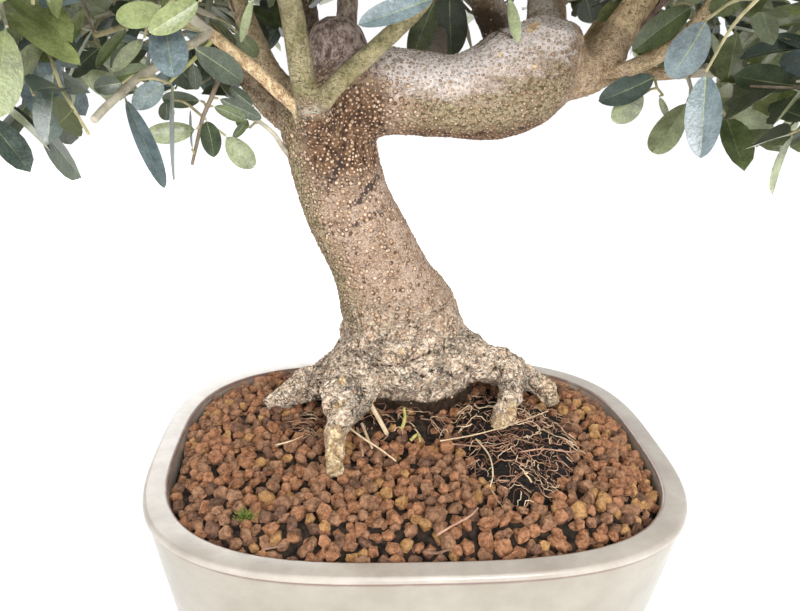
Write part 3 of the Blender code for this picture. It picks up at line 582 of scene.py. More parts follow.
ROOTS = {
    "knuckle": limb([(-22, 32, 122), (-30.5, 11, 112.5), (-33.5, -2, 109), (-36, -12.5, 105),
        (-38.5, -24, 98.5), (-38, -36, 88)], [12, 13.8, 12.8, 6.8, 5, 4.2]),
    "left": limb([(-20, 46, 109), (-43, 36, 103.5), (-61.5, 30, 97), (-74.5, 31, 89)],
        [14.5, 10, 7.2, 4.5]),
    "right": limb([(16, 42, 116), (40, 38, 110), (58.5, 36, 105), (71.5, 33, 100), (77.5, 28, 90)],
        [15, 11, 8.2, 6.6, 5]),
    "right_leg": limb([(53, 36, 108.5), (52, 21, 104), (47.5, 6, 98.5), (44, -2, 90)],
        [8.2, 7.2, 6.2, 5.8]),
    "back_right": limb([(20, 54, 116), (40, 62, 104), (56, 68, 90)], [15, 10.5, 6]),
    "back_left": limb([(-10, 58, 118), (-28, 68, 104), (-46, 71, 90)], [15, 11, 6]),
}
BOUGHS = {
    # name: its route, its radii at foot and tip, and the middle of its foliage
    "left_front": bough([(-47.8, 19, 238), (-52, 6, 258), (-56.2, 3, 286), (-63, -12, 312)],
        6, 4.5, (-92, -88, 372)),
    "front": bough([(-47, 20, 240), (-40, 2, 253.5), (-22.5, -4, 270), (-4.1, -8, 288), (4, -16, 303)],
        4.8, 3, (6, -98, 372)),
    "left_low": bough([(-47, 34, 236), (-61, 13.5, 250), (-74.3, 10, 262.1), (-91, 6, 276)],
        3.6, 2.4, (-150, -30, 264)),
    "left_high": bough([(-48, 46, 238), (-67.6, 50, 254), (-76.7, 52, 271.8), (-88, 52, 298)],
        6.8, 4.4, (-142, 34, 372)),
    "left_back": bough([(-48, 46, 228), (-69.8, 56, 240), (-85, 68, 256), (-102, 80, 274)],
        7.2, 4, (-146, 104, 276)),
    "back_left": bough([(-43, 50, 236), (-48, 73, 253), (-52, 90, 276), (-56, 102, 302)],
        7.5, 4.5, (-70, 148, 372)),
    "top_left": bough([(-36, 53, 266), (-33, 62, 287), (-35, 64, 310), (-38, 60, 336)],
        5.8, 4.2, (-62, 42, 440)),
    "top": bough([(47, 46, 258), (41.5, 55, 277), (32, 58, 296), (28, 54, 326)], 10.5, 6.2, (22, 40, 448)),
    "top_right": bough([(60, 44, 262), (64, 60, 283), (64, 66, 305), (70, 62, 334)],
        12, 6.6, (98, 46, 424)),
    "right_high": bough([(85, 38.5, 264.5), (90.5, 39, 273.5), (102.3, 40, 293.1), (114, 40, 314)],
        9.4, 6.4, (164, 36, 360)),
    "right_front": bough([(82, 34, 260), (96, 26.5, 264), (110, 17, 273.5), (119, 4, 290),
        (119, -16, 313)], 4, 2.8, (104, -92, 358)),
    "right_low": bough([(82, 38.5, 258), (100, 38.5, 260), (118, 36, 262), (130, 33, 263)],
        4, 2.6, (158, -12, 262)),
    "right_back": bough([(62, 44, 254), (76, 62, 260), (92, 78, 272), (104, 90, 288)],
        7.8, 4.4, (134, 118, 300)),
    "back": bough([(8, 46, 250), (10, 68, 260), (14, 88, 278), (16, 102, 302)], 7.8, 4.6, (32, 152, 372)),
}
OLD_LIMBS = (TRUNK, RIGHT_BOUGH, RIGHT_ARM, STUMP, COLLAR, BURL)
LIMB_SPACING = 0.0115


def smooth_route(route, radii, spacing=LIMB_SPACING):
    """Points and radii along the Catmull-Rom curve through a limb's route."""
    knots = [Vector(point) for point in route]
    knots = [2.0 * knots[0] - knots[1], *knots, 2.0 * knots[-1] - knots[-2]]
    sizes = [radii[0], *radii, radii[-1]]
    points, widths = [], []
    for index in range(1, len(knots) - 2):
        before, start, end, after = knots[index - 1:index + 3]
        count = max(1, round((end - start).length / spacing))
        for step in range(count):
            share = step / count
            points.append(0.5 * (2.0 * start + (end - before) * share
                                 + (2.0 * before - 5.0 * start + 4.0 * end - after) * share ** 2
                                 + (3.0 * start - before - 3.0 * end + after) * share ** 3))
            widths.append(sizes[index] + (sizes[index + 1] - sizes[index]) * share)
    points.append(knots[-2])
    widths.append(sizes[-1])
    return points, widths


def tube_points(points, radii, sides):
    """Rings of a tapering tube, square to its path and carried along it without twist."""
    last = len(points) - 1
    tangents = [(points[min(i + 1, last)] - points[max(i - 1, 0)]).normalized() for i in range(last + 1)]
    side = tangents[0].orthogonal().normalized()
    angles = [math.tau * corner / sides for corner in range(sides)]
    rings = []
    for index, (point, radius, tangent) in enumerate(zip(points, radii, tangents)):
        if index:
            side.rotate(tangents[index - 1].rotation_difference(tangent))
        side = (side - tangent * side.dot(tangent)).normalized()
        other = tangent.cross(side)
        rings += [tuple(point + radius * (side * math.cos(a) + other * math.sin(a))) for a in angles]
    return np.array(rings)


def tubes_object(name, tubes, sides, materials, paints=None):
    """One mesh of many closed tapering tubes, each given as points and radii."""
    starts = np.cumsum([0] + [len(path) * sides for path, _ in tubes])
    around = np.arange(sides)
    points = [tube_points(path, radii, sides) for path, radii in tubes]
    quads = [lattice_faces(len(path), sides) + start for (path, _), start in zip(tubes, starts)]
    ends = zip(starts[:-1], starts[1:] - sides)
    caps = [np.stack([around[::-1] + start, around + end]) for start, end in ends]
    painted = None
    if paints is not None:
        painted = np.concatenate([np.repeat(paints, [len(part) for part in quads]), np.repeat(paints, 2)])
    return mesh_object(name, np.concatenate(points), [np.concatenate(quads), np.concatenate(caps)],
                       materials, painted, SMOOTH_ANGLE)


def spot_tubes(plans, place_of, spacing):
    """Tubes through spots of the picture, a third number giving depth or height, and each one's tone."""
    tubes, paints = [], []
    for spots, sizes, tone in plans.values():
        knots = [place_of(column, row, number * MILLIMETRE) for column, row, number in spots]
        radii = [radius * MILLIMETRE for radius in tapered(len(knots), *sizes)]
        tubes.append(smooth_route(knots, radii, spacing))
        paints.append(tone)
    return tubes, paints


bough_routes = {name: smooth_route(plan["route"], plan["radii"]) for name, plan in BOUGHS.items()}
print("limbs:", len(OLD_LIMBS) + len(ROOTS) + len(BOUGHS))

# %% [markdown]
# ## Skin of the wood
# On the tree the limbs grow out of each other with soft collars, and the bark runs on without a seam.
# A Boolean union would leave creases. Here all the tubes are remeshed into one skin of small voxels,
# which is then relaxed until the creases melt into collars. Thin limbs relax less, so they don't shrink.

# %% Skin
SKIN_VOXEL = 0.00095
SKIN_SPACING = 0.004
SKIN_SIDES = 36
RELAX_STEPS = 16
YOUNG_STEPS = 12
FULL_RELAX_RADIUS = 0.013  # limbs this thick or more are relaxed in full
YOUNG_FROM = (0.01, 0.024)  # a bough's bark turns young between these distances from its foot
GREENNESS = {"left_front": 1.0, "front": 1.0, "left_low": 0.35, "left_high": 0.45, "right_front": 0.5}
DULL_GREEN = 0.3  # how green the other boughs are
# Over zero, how much shade is painted on a bough's bark, for the crown's shade over it; under zero, how worn
# and pale it is.
SHADE = {"top": 0.5, "back": 0.7, "back_left": 0.7, "top_left": 0.3, "left_back": 0.3, "left_low": -0.75,
         "left_high": -0.35, "right_high": -0.75, "right_front": -0.35, "right_low": -0.35, "top_right": -0.2}


def skin_tubes():
    """Every limb as a fine tube: its path, its radii, how young its bark is, and its painted shade (worn
    paleness where under zero).
    """
    tubes = []
    for plan in (*OLD_LIMBS, *ROOTS.values()):
        path, radii = smooth_route(**plan, spacing=SKIN_SPACING)
        tubes.append((path, radii, np.zeros(len(path)), np.zeros(len(path))))
    for name, plan in BOUGHS.items():
        path, radii = smooth_route(plan["route"], plan["radii"], SKIN_SPACING)
        steps = [0.0] + [(after - before).length for before, after in zip(path[:-1], path[1:])]
        out = smooth_step(np.cumsum(steps), *YOUNG_FROM)
        tubes.append((path, radii, out * GREENNESS.get(name, DULL_GREEN), out * SHADE.get(name, 0.0)))
    return tubes


def relaxed(points, edges, shares, steps):
    """Each point moves its share of the way to the middle of its neighbours, several times."""
    counts = np.bincount(edges.ravel(), minlength=len(points)).astype(float)
    for _ in range(steps):
        sums = np.zeros_like(points)
        for column in range(points.shape[1]):
            sums[:, column] = (np.bincount(edges[:, 0], points[edges[:, 1], column], len(points))
                               + np.bincount(edges[:, 1], points[edges[:, 0], column], len(points)))
        points = points + shares[:, None] * (sums / counts[:, None] - points)
    return points


def set_points(mesh, points):
    mesh.vertices.foreach_set("co", np.asarray(points, np.float32).ravel())
    mesh.update()


def make_skin():
    tubes = skin_tubes()
    skin = tubes_object("bark_skin", [(path, radii) for path, radii, _, _ in tubes], SKIN_SIDES, [])
    remesh = skin.modifiers.new("voxels", "REMESH")
    remesh.mode = "VOXEL"
    remesh.voxel_size = SKIN_VOXEL
    apply_modifiers(skin)
    points = read_rows(skin.data.vertices, "co", 3).astype(float)
    centres = [centre for path, _, _, _ in tubes for centre in path]
    facts = np.array([fact for _, *columns in tubes for fact in zip(*columns)])
    tree = tree_of(centres)
    nearest = facts[[tree.find(point)[1] for point in points]]
    edges = read_rows(skin.data.edges, "vertices", 2, np.int32)
    shares = 0.5 * np.clip(nearest[:, 0] / FULL_RELAX_RADIUS, 0.12, 1.0)
    points = relaxed(points, edges, shares, RELAX_STEPS)
    set_points(skin.data, points)
    blended = relaxed(nearest[:, 1:], edges, np.full(len(points), 0.5), YOUNG_STEPS)
    return skin, points, blended[:, 0], blended[:, 1]


skin, skin_points, young, shade_and_wear = make_skin()
print("skin points:", len(skin_points))

# %% [markdown]
# ### Relief of the bark
# Old olive bark swells in lumps, and the foot of the trunk is gnarled: plates and knobs with dark cracks
# between them. A Displace modifier can do one such pattern. Several are wanted here, each strong in its
# own stretch of the tree, so the points are moved along their normals by sums of noise, and what is low
# or cracked is kept as a field, on which the material paints shade.

# %% Relief
FLARE_TOP = 0.16
FLARE_FULL = 0.12
LUMP_SIZE, LUMP_HEIGHT = 0.022, 0.0014
KNOB_SIZE, KNOB_HEIGHT = 0.0085, 0.0023
CRACK_SIZE, CRACK_DEPTH = 0.0062, 0.0021
CRACK_WARP = 0.0026
GRAIN_SIZE, GRAIN_HEIGHT = 0.0025, 0.0008
WRINKLE_SIZE, WRINKLE_HEIGHT = 0.0045, 0.0003


def noise_at(points, size, shift=0.0):
    """Noise from -1 to 1 at each point, with blotches of about this size."""
    return np.array([noise.noise(Vector(point) / size + Vector((shift, 0.0, shift))) for point in points])


def relief(points, flare, old):
    """How far each point moves along its normal, and how much shade to paint on it in cracks and hollows."""
    warp = CRACK_WARP * np.column_stack([noise_at(points, 0.005, shift) for shift in (1.0, 4.0, 8.0)])
    along = (points + warp) * np.array([1.0, 1.0, 0.5])
    ridges = np.abs(noise_at(along, CRACK_SIZE, 7.0))
    cracks = 1.0 - smooth_step(ridges, 0.0, 0.1)
    knobs = noise_at(points + warp, KNOB_SIZE, 2.0)
    grain = noise_at(points, GRAIN_SIZE, 3.0)
    wrinkles = noise_at(points * np.array([0.5, 1.0, 1.6]), WRINKLE_SIZE, 5.0)
    height = noise_at(points, LUMP_SIZE) * LUMP_HEIGHT * (0.4 + 0.6 * flare) * old
    height += knobs * KNOB_HEIGHT * flare - cracks * CRACK_DEPTH * flare
    height += grain * GRAIN_HEIGHT * (0.25 + 0.75 * flare) * old
    height += wrinkles * WRINKLE_HEIGHT * (1.0 - flare) * (0.4 + 0.6 * old)
    # Painted shade: the cracks, and the hollows between knobs, are kept to be laid darker.
    low = flare * np.clip(0.8 * cracks + 0.5 * smooth_step(-knobs, 0.1, 0.5), 0.0, 1.0)
    return height, low


old = 1.0 - young
flare = (1.0 - smooth_step(skin_points[:, 2], FLARE_FULL, FLARE_TOP)) * old
height, crack_shade_values = relief(skin_points, flare, old)

# %% [markdown]
# ### Scars, folds and wounds
# Some marks have their own place: wire scars wound round the trunk, a fold like a lip over the burl, a
# raised strand of bark, old wounds on the knob. Sculpting them by hand can't be repeated, so each mark is
# a short path of spots in the picture, which rays from the camera carry onto the skin. Its depth, width
# and darkening fade away from the path, and noise frays its edges. The darkening is a real stain on the
# scars and wounds, and painted shade in the folds, pockets and holes, under the strand and by the fork.

# %% Marks
MARK_STEP_PIXELS = 2.0
MARK_REACH = 3.0  # widths from the path where a mark has faded out
MARKS = {
    # name: (path in the picture, half width, depth, darkness: a stain on scars and wounds, painted shade in
    # folds and holes)
    "scar_high": ([(352, 206), (360, 200), (368, 190), (375, 182), (379, 175)], 0.0034, 0.0003, 0.97),
    "scar_low": ([(354, 226), (364, 222), (373, 215), (380, 211)], 0.003, 0.0003, 0.95),
    "scar_low_end": ([(380, 210), (387, 206), (393, 202)], 0.0015, 0.0003, 0.9),
    "scar_patch": ([(326, 186), (332, 180), (338, 170), (341, 158)], 0.0055, 0.0002, 0.9),
    "scar_short": ([(309, 193), (319, 189)], 0.001, 0.0002, 0.9),
    "dash": ([(374, 283), (386, 279)], 0.0009, 0.0005, 1.0),
    "dash_right": ([(398, 262), (404, 270)], 0.0012, 0.0003, 0.85),
    "fold_over_burl": ([(352, 346), (361, 357), (374, 364), (389, 366), (403, 362), (420, 356), (434, 349)],
                       0.0013, 0.0028, 0.95),
    "pocket": ([(362, 350), (371, 355), (378, 357)], 0.0022, 0.0018, 0.85),
    "fold_right": ([(450, 318), (447, 335), (446, 350), (445, 364), (444, 378)], 0.0012, 0.0024, 1.0),
    "hole_right": ([(450, 374), (456, 381)], 0.0022, 0.0024, 1.0),
    "hole_far_right": ([(468, 368), (471, 377), (478, 384)], 0.0017, 0.0022, 1.0),
    "shade_under_strand": ([(392, 344), (404, 334), (420, 325), (438, 316), (452, 304)], 0.0007, 0.001, 0.95),
    "strand": ([(390, 341), (402, 331), (418, 322), (437, 313), (451, 301)], 0.0009, -0.0018, 0.0),
    "knuckle_side": ([(352, 372), (360, 384), (366, 394), (368, 408)], 0.0009, 0.0018, 1.0),
    "knuckle_ring": ([(331, 383), (336, 376), (346, 374), (354, 380), (354, 390), (346, 396), (336, 394)],
                     0.0008, 0.0009, 0.8),
    "left_fold": ([(318, 356), (310, 372), (308, 388), (309, 402)], 0.0012, 0.0024, 1.0),
    "left_fold_high": ([(352, 338), (342, 346), (330, 352)], 0.0012, 0.0018, 0.95),
    "knob_wound": ([(550, 75), (547, 83), (543, 90)], 0.001, 0.0008, 1.0),
    "knob_wound_low": ([(544, 99), (548, 102), (549, 98)], 0.0005, 0.0005, 0.9),
    "arm_fold": ([(582, 38), (578, 46), (568, 54), (574, 66)], 0.001, 0.001, 0.85),
    "shade_by_fork": ([(478, 46), (488, 40), (500, 30), (512, 36)], 0.0022, 0.0008, 1.0),
    "stump_shade": ([(306, 52), (309, 66), (320, 80), (336, 84)], 0.0022, 0.0004, 0.7),
    "old_cut": ([(524, 24), (530, 16), (540, 13), (552, 14)], 0.0012, 0.001, 0.8),
}
PALE_SPOTS = {
    # name: (middle in the picture, radius)
    "knot_eye": ((401, 352), 0.0019),
    "knuckle_cap": ((341, 379), 0.003),
    "knuckle_low": ((338, 405), 0.0024),
    "knob_callus": ((533, 26), 0.0034),
    "knob_spot": ((534, 67), 0.0015),
    "bough_spot": ((501, 55), 0.0014),
    "left_plate": ((330, 348), 0.0034),
    "root_tan": ((515, 412), 0.0062),
    "root_bend": ((500, 425), 0.0055),
    "root_low": ((331, 458), 0.0095),
    "root_lower": ((337, 440), 0.008),
}


def on_skin(column, row, tree):
    """Where a spot in the picture falls on the skin, or None."""
    return tree.ray_cast(CAMERA_PLACE, ray_through(column, row))[0]


def mark_points(path, tree):
    spots = []
    for (column, row), (next_column, next_row) in zip(path[:-1], path[1:]):
        steps = max(1, round(math.hypot(next_column - column, next_row - row) / MARK_STEP_PIXELS))
        for step in range(steps + 1):
            share = step / steps
            spot = on_skin(column + (next_column - column) * share, row + (next_row - row) * share, tree)
            if spot is not None:
                spots.append(spot)
    return spots


def nearness(points, spots, width, frayed):
    """1 on a mark, fading to 0 away from it."""
    tree = tree_of(spots)
    low = np.min(spots, axis=0) - MARK_REACH * width
    high = np.max(spots, axis=0) + MARK_REACH * width
    close = np.flatnonzero(np.all((points > low) & (points < high), axis=1))
    values = np.zeros(len(points))
    for index in close:
        distance = tree.find(points[index])[2] / width * (1.0 + 0.45 * frayed[index])
        values[index] = math.exp(-distance * distance)
    return values


skin_faces = [tuple(polygon.vertices) for polygon in skin.data.polygons]
skin_tree = BVHTree.FromPolygons([tuple(point) for point in skin_points], skin_faces)
frayed = noise_at(skin_points, 0.0016, 11.0)
stain_and_shade = np.zeros(len(skin_points))
pale = np.zeros(len(skin_points))
for path, width, depth, strength in MARKS.values():
    near_mark = nearness(skin_points, mark_points(path, skin_tree), width, frayed)
    height -= depth * near_mark
    stain_and_shade = np.maximum(stain_and_shade, strength * near_mark)
for (column, row), radius in PALE_SPOTS.values():
    spot = on_skin(column, row, skin_tree)
    if spot is not None:
        pale = np.maximum(pale, nearness(skin_points, [spot], radius, frayed))
skin_points = skin_points + read_rows(skin.data.vertex_normals, "vector", 3) * height[:, None]
skin_points[:, 2] = np.maximum(skin_points[:, 2], GROUND - 0.004)
set_points(skin.data, skin_points)
print("marks on the bark:", len(MARKS) + len(PALE_SPOTS))

# %% [markdown]
# ### Bark
# The bark isn't one colour. The trunk is beige with a pinkish grey bloom, and young boughs are olive
# green. Light and shade are painted into it too: the trunk's side away from the light is laid darker and
# greener, and shade is painted brown under the fork. The thick bough gets a lilac grey painted highlight
# above, olive in the middle and a painted brown shade below. Which part a point belongs to is worked out
# from its place and the way it faces, kept in fields, and the material mixes its tones by them with noise
# on top.

# %% Bark fields
normals = read_rows(skin.data.vertex_normals, "vector", 3).astype(float)
x, y, z = skin_points.T
beside_trunk = smooth_step(x, -0.012, 0.004) * smooth_step(z, 0.2, 0.225)
on_trunk = smooth_step(z, 0.118, 0.145) * (1.0 - beside_trunk) * (1.0 - smooth_step(z, 0.262, 0.275)) * old
on_bough = smooth_step(x, -0.022, 0.006) * smooth_step(z, 0.215, 0.232) * old
# Painted shade: the trunk's side away from the light is laid darker and greener.
shaded_side = on_trunk * smooth_step(-normals[:, 0], 0.15, 0.85)
# Painted shade under the fork
shade_under_fork = old * smooth_step(z, 0.196, 0.226) * (1.0 - smooth_step(z, 0.246, 0.262))
shade_under_fork *= 1.0 - smooth_step(np.abs(x + 0.034), 0.012, 0.026)
blotches = noise_at(skin_points, 0.011, 13.0)
lichen = flare * smooth_step(blotches + 0.16 * smooth_step(-x, 0.005, 0.03), 0.15, 0.45)
lichen *= 1.0 - smooth_step(-x, 0.035, 0.046)
# The bark just over the soil is laid darker, except on the roots in front and at the far sides.
darker_over_soil = (1.0 - smooth_step(z, GROUND + 0.005, GROUND + 0.011)) * smooth_step(y, -0.004, 0.004)
darker_over_soil *= 1.0 - smooth_step(np.abs(x), 0.036, 0.044)
collar = np.exp(-(((x + 0.0475) / 0.0075) ** 2 + ((y - 0.014) / 0.012) ** 2 + ((z - 0.2455) / 0.0058) ** 2))
beyond_knob = smooth_step(x, 0.062, 0.074)
# Painted highlight: the thick bough's upper side is laid lighter, lilac grey, for the light and sheen that
# fall on it.
top_highlight = old * smooth_step(x, -0.03, -0.008) * smooth_step(z, 0.215, 0.24)
top_highlight *= smooth_step(normals[:, 2], -0.5, 0.95) * (1.0 - beyond_knob)
greenish = 0.8 * on_bough * smooth_step(-normals[:, 2], -0.45, 0.2) * (1.0 - 0.9 * beyond_knob)
# Painted shade in the heel of the fork, under the crown
fork_shade = np.exp(-((x - 0.03) ** 2 + (y - 0.05) ** 2 + (z - 0.274) ** 2) / 0.013 ** 2)
fields = {
    "young": young,
    "flare": flare,
    "crack_shade": crack_shade_values,
    "stain_and_shade": stain_and_shade,
    "pale": np.maximum(pale, np.maximum(-shade_and_wear, 0.4 * beyond_knob)),
    "lichen": lichen,
    "warty": np.clip(on_trunk + 0.3 * flare + 0.08 * on_bough, 0.0, 1.0),
    "collar": collar,
    "top_highlight": top_highlight * (1.0 + 0.4 * noise_at(skin_points, 0.02, 9.0)),
    # green: olive on the bough's flanks, and painted shade on the trunk's side away from the light
    "green": np.clip(shaded_side + greenish, 0.0, 1.0),
    # brown: painted shade on the bough's underside and under the fork
    "brown": np.clip(on_bough * smooth_step(-normals[:, 2], 0.45, 0.9) + shade_under_fork, 0.0, 1.0),
    "stump": old * smooth_step(z, 0.2555, 0.264) * (1.0 - smooth_step(np.abs(x + 0.038), 0.016, 0.022)),
    # dark: painted shade on boughs in the crown's shade and in the fork's heel, and the darker bark just over
    # the soil
    "dark": np.clip(fork_shade + 0.8 * np.maximum(shade_and_wear, 0.0) + darker_over_soil, 0.0, 1.0),
}
for name, values in fields.items():
    set_field(skin, name, values)

# %% Bark material
BARK_DARK = (0.115, 0.058, 0.032)
BARK_MIDDLE = (0.315, 0.212, 0.137)
BARK_PALE = (0.48, 0.358, 0.275)
FLARE_DARK = (0.54, 0.4, 0.275)
FLARE_MIDDLE = (0.84, 0.645, 0.465)
FLARE_PALE = (0.98, 0.83, 0.67)
# Painted highlight on the top of the thick bough
TOP_HIGHLIGHT_TONES = ((0.72, 0.62, 0.56), (0.96, 0.88, 0.85))
GREEN_TONES = ((0.11, 0.083, 0.031), (0.4, 0.335, 0.19))
# Painted shade on the underside of the bough and under the fork
UNDERSIDE_SHADE_TONES = ((0.038, 0.017, 0.008), (0.22, 0.122, 0.064))
YOUNG_TONES = ((0.21, 0.185, 0.08), (0.5, 0.43, 0.255))
STUMP_TONES = ((0.19, 0.125, 0.105), (0.62, 0.485, 0.425))
LICHEN_TONES = ((0.09, 0.075, 0.06), (0.8, 0.7, 0.55))
COLLAR_TONES = ((0.36, 0.33, 0.22), (0.74, 0.72, 0.6))
WART_TONE = (0.74, 0.56, 0.41)
# Painted shadow round each wart
WART_SHADOW_TONE = (0.11, 0.058, 0.034)
# A stain on scars and wounds, and painted shade in folds, pockets and holes
STAIN_AND_SHADE_TONE = (0.035, 0.022, 0.022)
# Painted shade in cracks, hollows and creases
CREASE_SHADE_TONE = (0.035, 0.026, 0.018)
# Painted shade under the crown and in the fork, also laid on the bark just over the soil
HEEL_TONE = (0.055, 0.031, 0.015)
PALE_TONE = (0.98, 0.76, 0.47)
WOOD_TONE = (0.62, 0.415, 0.225)


def make_bark():
    bark = Finish("olive_bark", roughness=0.8, specular=0.35)
    pattern, attribute, creases, bump = bark.noise, bark.attribute, bark.creases, bark.bump
    ramp, mix, plus, times = bark.ramp, bark.mix, bark.plus, bark.times
    fine = pattern(0.0017, detail=6.0, roughness=0.75)
    speckle = ramp(fine, 0.45, 0.55)
    broad = pattern(0.01, detail=5.0, roughness=0.6)
    flakes = ramp(broad, 0.44, 0.58)
    grain = ramp(pattern(0.003, detail=6.0, roughness=0.72, stretch=(1.0, 1.0, 0.5)), 0.42, 0.57)

    clean = ramp(fine, 0.37, 0.46)
    on_stem = mix(clean, BARK_DARK, mix(plus(flakes, times(speckle, 0.4)), BARK_MIDDLE, BARK_PALE))
    on_flare = mix(ramp(fine, 0.3, 0.4), FLARE_DARK, mix(grain, FLARE_MIDDLE, FLARE_PALE))
    tone = mix(attribute("flare"), on_stem, on_flare)
    # Some layers are painted light and shade: the highlight on the bough's top, the brown shade under it and
    # under the fork, and the green laid on the trunk's shaded side.
    layers = (
        ("top_highlight", 1.0, mix(speckle, *TOP_HIGHLIGHT_TONES)),
        ("green", 0.75, mix(speckle, *GREEN_TONES)),
        ("brown", 0.9, mix(grain, *UNDERSIDE_SHADE_TONES)),
        ("stump", 0.9, mix(grain, *STUMP_TONES)),
        ("young", 1.0, mix(plus(times(flakes, 0.6), times(speckle, 0.4)), *YOUNG_TONES)),
        ("collar", 0.75, mix(flakes, *COLLAR_TONES)),
    )
    for name, strength, colour in layers:
        share = times(attribute(name), strength)
        tone = mix(ramp(plus(share, times(broad, 0.5)), 0.42, 1.0), tone, colour)
    lichen_spots = mix(ramp(pattern(0.0012, detail=5.0, roughness=0.75), 0.44, 0.6), *LICHEN_TONES)
    tone = mix(times(attribute("lichen"), 0.75), tone, lichen_spots)
    # Painted shade in the cracks and hollows
    cracks = ramp(plus(attribute("crack_shade"), times(fine, 0.9)), 1.08, 1.38)
    tone = mix(times(cracks, 0.65), tone, CREASE_SHADE_TONE)
    warts = bark.cells(0.0033)
    warty = times(attribute("warty"), ramp(pattern(0.008), 0.35, 0.55))
    # Painted shadow ring round each painted wart, then its pale dome
    tone = mix(times(warty, ramp(warts, 0.46, 0.32)), tone, WART_SHADOW_TONE)
    tone = mix(times(warty, ramp(warts, 0.27, 0.22)), tone, WART_TONE)
    gnarled = times(attribute("flare"), creases(0.009, 0.035, 2.0, (1.0, 1.0, 1.5)))
    folded = times(attribute("flare"), times(creases(0.0052, 0.022, 1.5, (1.0, 1.0, 1.3)), 0.5))
    wrinkled = times(creases(0.0038, 0.016, 1.2, (0.7, 0.7, 1.6)), 0.45)
    furrows = plus(plus(gnarled, folded), wrinkled)
    # Painted shade in the furrows and creases, which the bump below also sinks
    tone = mix(times(furrows, 0.95), tone, CREASE_SHADE_TONE)
    worn_wood = mix(grain, WOOD_TONE, PALE_TONE)
    tone = mix(ramp(plus(attribute("pale"), times(fine, 0.5)), 0.5, 0.85), tone, worn_wood)
    # Painted shade on boughs under the crown and in the fork's heel; this also darkens the bark just over the
    # soil
    gloom = ramp(plus(attribute("dark"), times(fine, 0.6)), 0.6, 1.05)
    tone = mix(gloom, tone, HEEL_TONE)
    strokes = pattern(0.0022, detail=5.0, roughness=0.75, stretch=(1.3, 1.3, 0.5))
    # A stain on scars and wounds, and painted shade in folds, pockets and holes
    stain_and_shade_share = ramp(plus(times(attribute("stain_and_shade"), 0.66), strokes), 0.96, 1.1)
    bark.colour(mix(times(stain_and_shade_share, 0.92), tone, STAIN_AND_SHADE_TONE))
    fibres = bump(pattern(0.0012, detail=6.0, roughness=0.8), 1.0 * MILLIMETRE)
    fibres = bump(furrows, 2.2 * MILLIMETRE, after=fibres, inward=True)
    domes = bump(times(warty, ramp(warts, 0.4, 0.15)), 0.9 * MILLIMETRE, after=fibres)
    plates = pattern(0.0042, detail=5.0, roughness=0.65, stretch=(1.0, 1.0, 0.5))
    bump(plates, 1.7 * MILLIMETRE, after=domes)
    return bark.material


skin.data.materials.append(make_bark())
skin_triangles = triangles_of(skin)
SKIN_KEPT = 0.62  # share of the skin's faces kept: flat stretches need fewer
thin_out = skin.modifiers.new("thin_out", "DECIMATE")
thin_out.ratio = SKIN_KEPT
apply_modifiers(skin)
skin.data.shade_smooth()
dress(skin, "bark", "trunk", "bough_right", *("bough_" + name for name in BOUGHS))

# %% [markdown]
# ### Lenticels
# Olive bark is dotted with lenticels, corky warts that let the wood breathe: pale, round, about a
# millimetre wide, crowded on the trunk and sparse on young boughs. A bump pattern would vanish at the
# outline, so each is a little dome of its own, sunk in the skin at a random spot, and thinned out so
# that no two overlap.
# Round each dome a flat rim is painted dark, as the shadow the wart casts on the bark.

# %% Lenticels
LENTICEL_SEED = 21
LENTICEL_SIDES = 6
# The rim is painted dark, as the wart's shadow.
LENTICEL_RINGS = ((1.45, -0.02), (0.98, 0.2))  # radius and height of the dark rim and of the dome
LENTICEL_TOP = 0.66
LENTICEL_RADIUS = (0.00036, 0.0011)
LARGE_SHARE = 2.6  # higher makes large ones rarer
SMALLER_OFF_TRUNK = 0.45
LENTICEL_SPACING = 0.0019
LENTICEL_TRIES = 45000
LENTICEL_COUNT = 10500
CORK_TONES = {
    "cork_rim_shadow": ((0.1, 0.05, 0.028), (0.27, 0.16, 0.1)),
    "cork_pale": ((0.4, 0.275, 0.185), (0.62, 0.465, 0.34)),
    "cork_tan": ((0.29, 0.18, 0.105), (0.5, 0.345, 0.225)),
}
TAN_SHARE = 0.5


def lenticel_shape():
    """Points of one wart, and its faces: the rim's quads and the dome's triangles."""
    points = []
    for radius, level in LENTICEL_RINGS:
        for corner in range(LENTICEL_SIDES):
            turn = math.tau * corner / LENTICEL_SIDES
            points.append((radius * math.cos(turn), radius * math.sin(turn), level))
    points.append((0.0, 0.0, LENTICEL_TOP))
    quads = lattice_faces(2, LENTICEL_SIDES)
    upper = np.arange(LENTICEL_SIDES) + LENTICEL_SIDES
    tips = np.stack([upper, np.roll(upper, -1), np.full(LENTICEL_SIDES, 2 * LENTICEL_SIDES)], -1)
    return np.array(points), quads, tips


def frame_from(normal, spin):
    """Matrix that stands a shape up along a normal."""
    side = Vector(normal).orthogonal().normalized()
    side.rotate(Quaternion(normal, spin))
    return np.array((side, Vector(normal).cross(side), normal)).T


class Neighbours:
    """Things kept in a grid of cells, so that what is near a place is found at once."""

    def __init__(self, size):
        self.size = size
        self.cells = {}

    def cell(self, place):
        return tuple(int(math.floor(value / self.size)) for value in place)

    def near(self, place):
        column, row, level = self.cell(place)
        for across, along, up in itertools.product((-1, 0, 1), repeat=3):
            yield from self.cells.get((column + across, row + along, level + up), ())

    def add(self, place, thing):
        self.cells.setdefault(self.cell(place), []).append(thing)


def spread_out(places, spacings):
    """Indices of the places that keep their spacing to those kept before them."""
    kept, neighbours = [], Neighbours(max(spacings))
    for index, place in enumerate(places):
        if all((place - other).length > spacings[index] for other in neighbours.near(place)):
            kept.append(index)
            neighbours.add(place, place)
    return kept


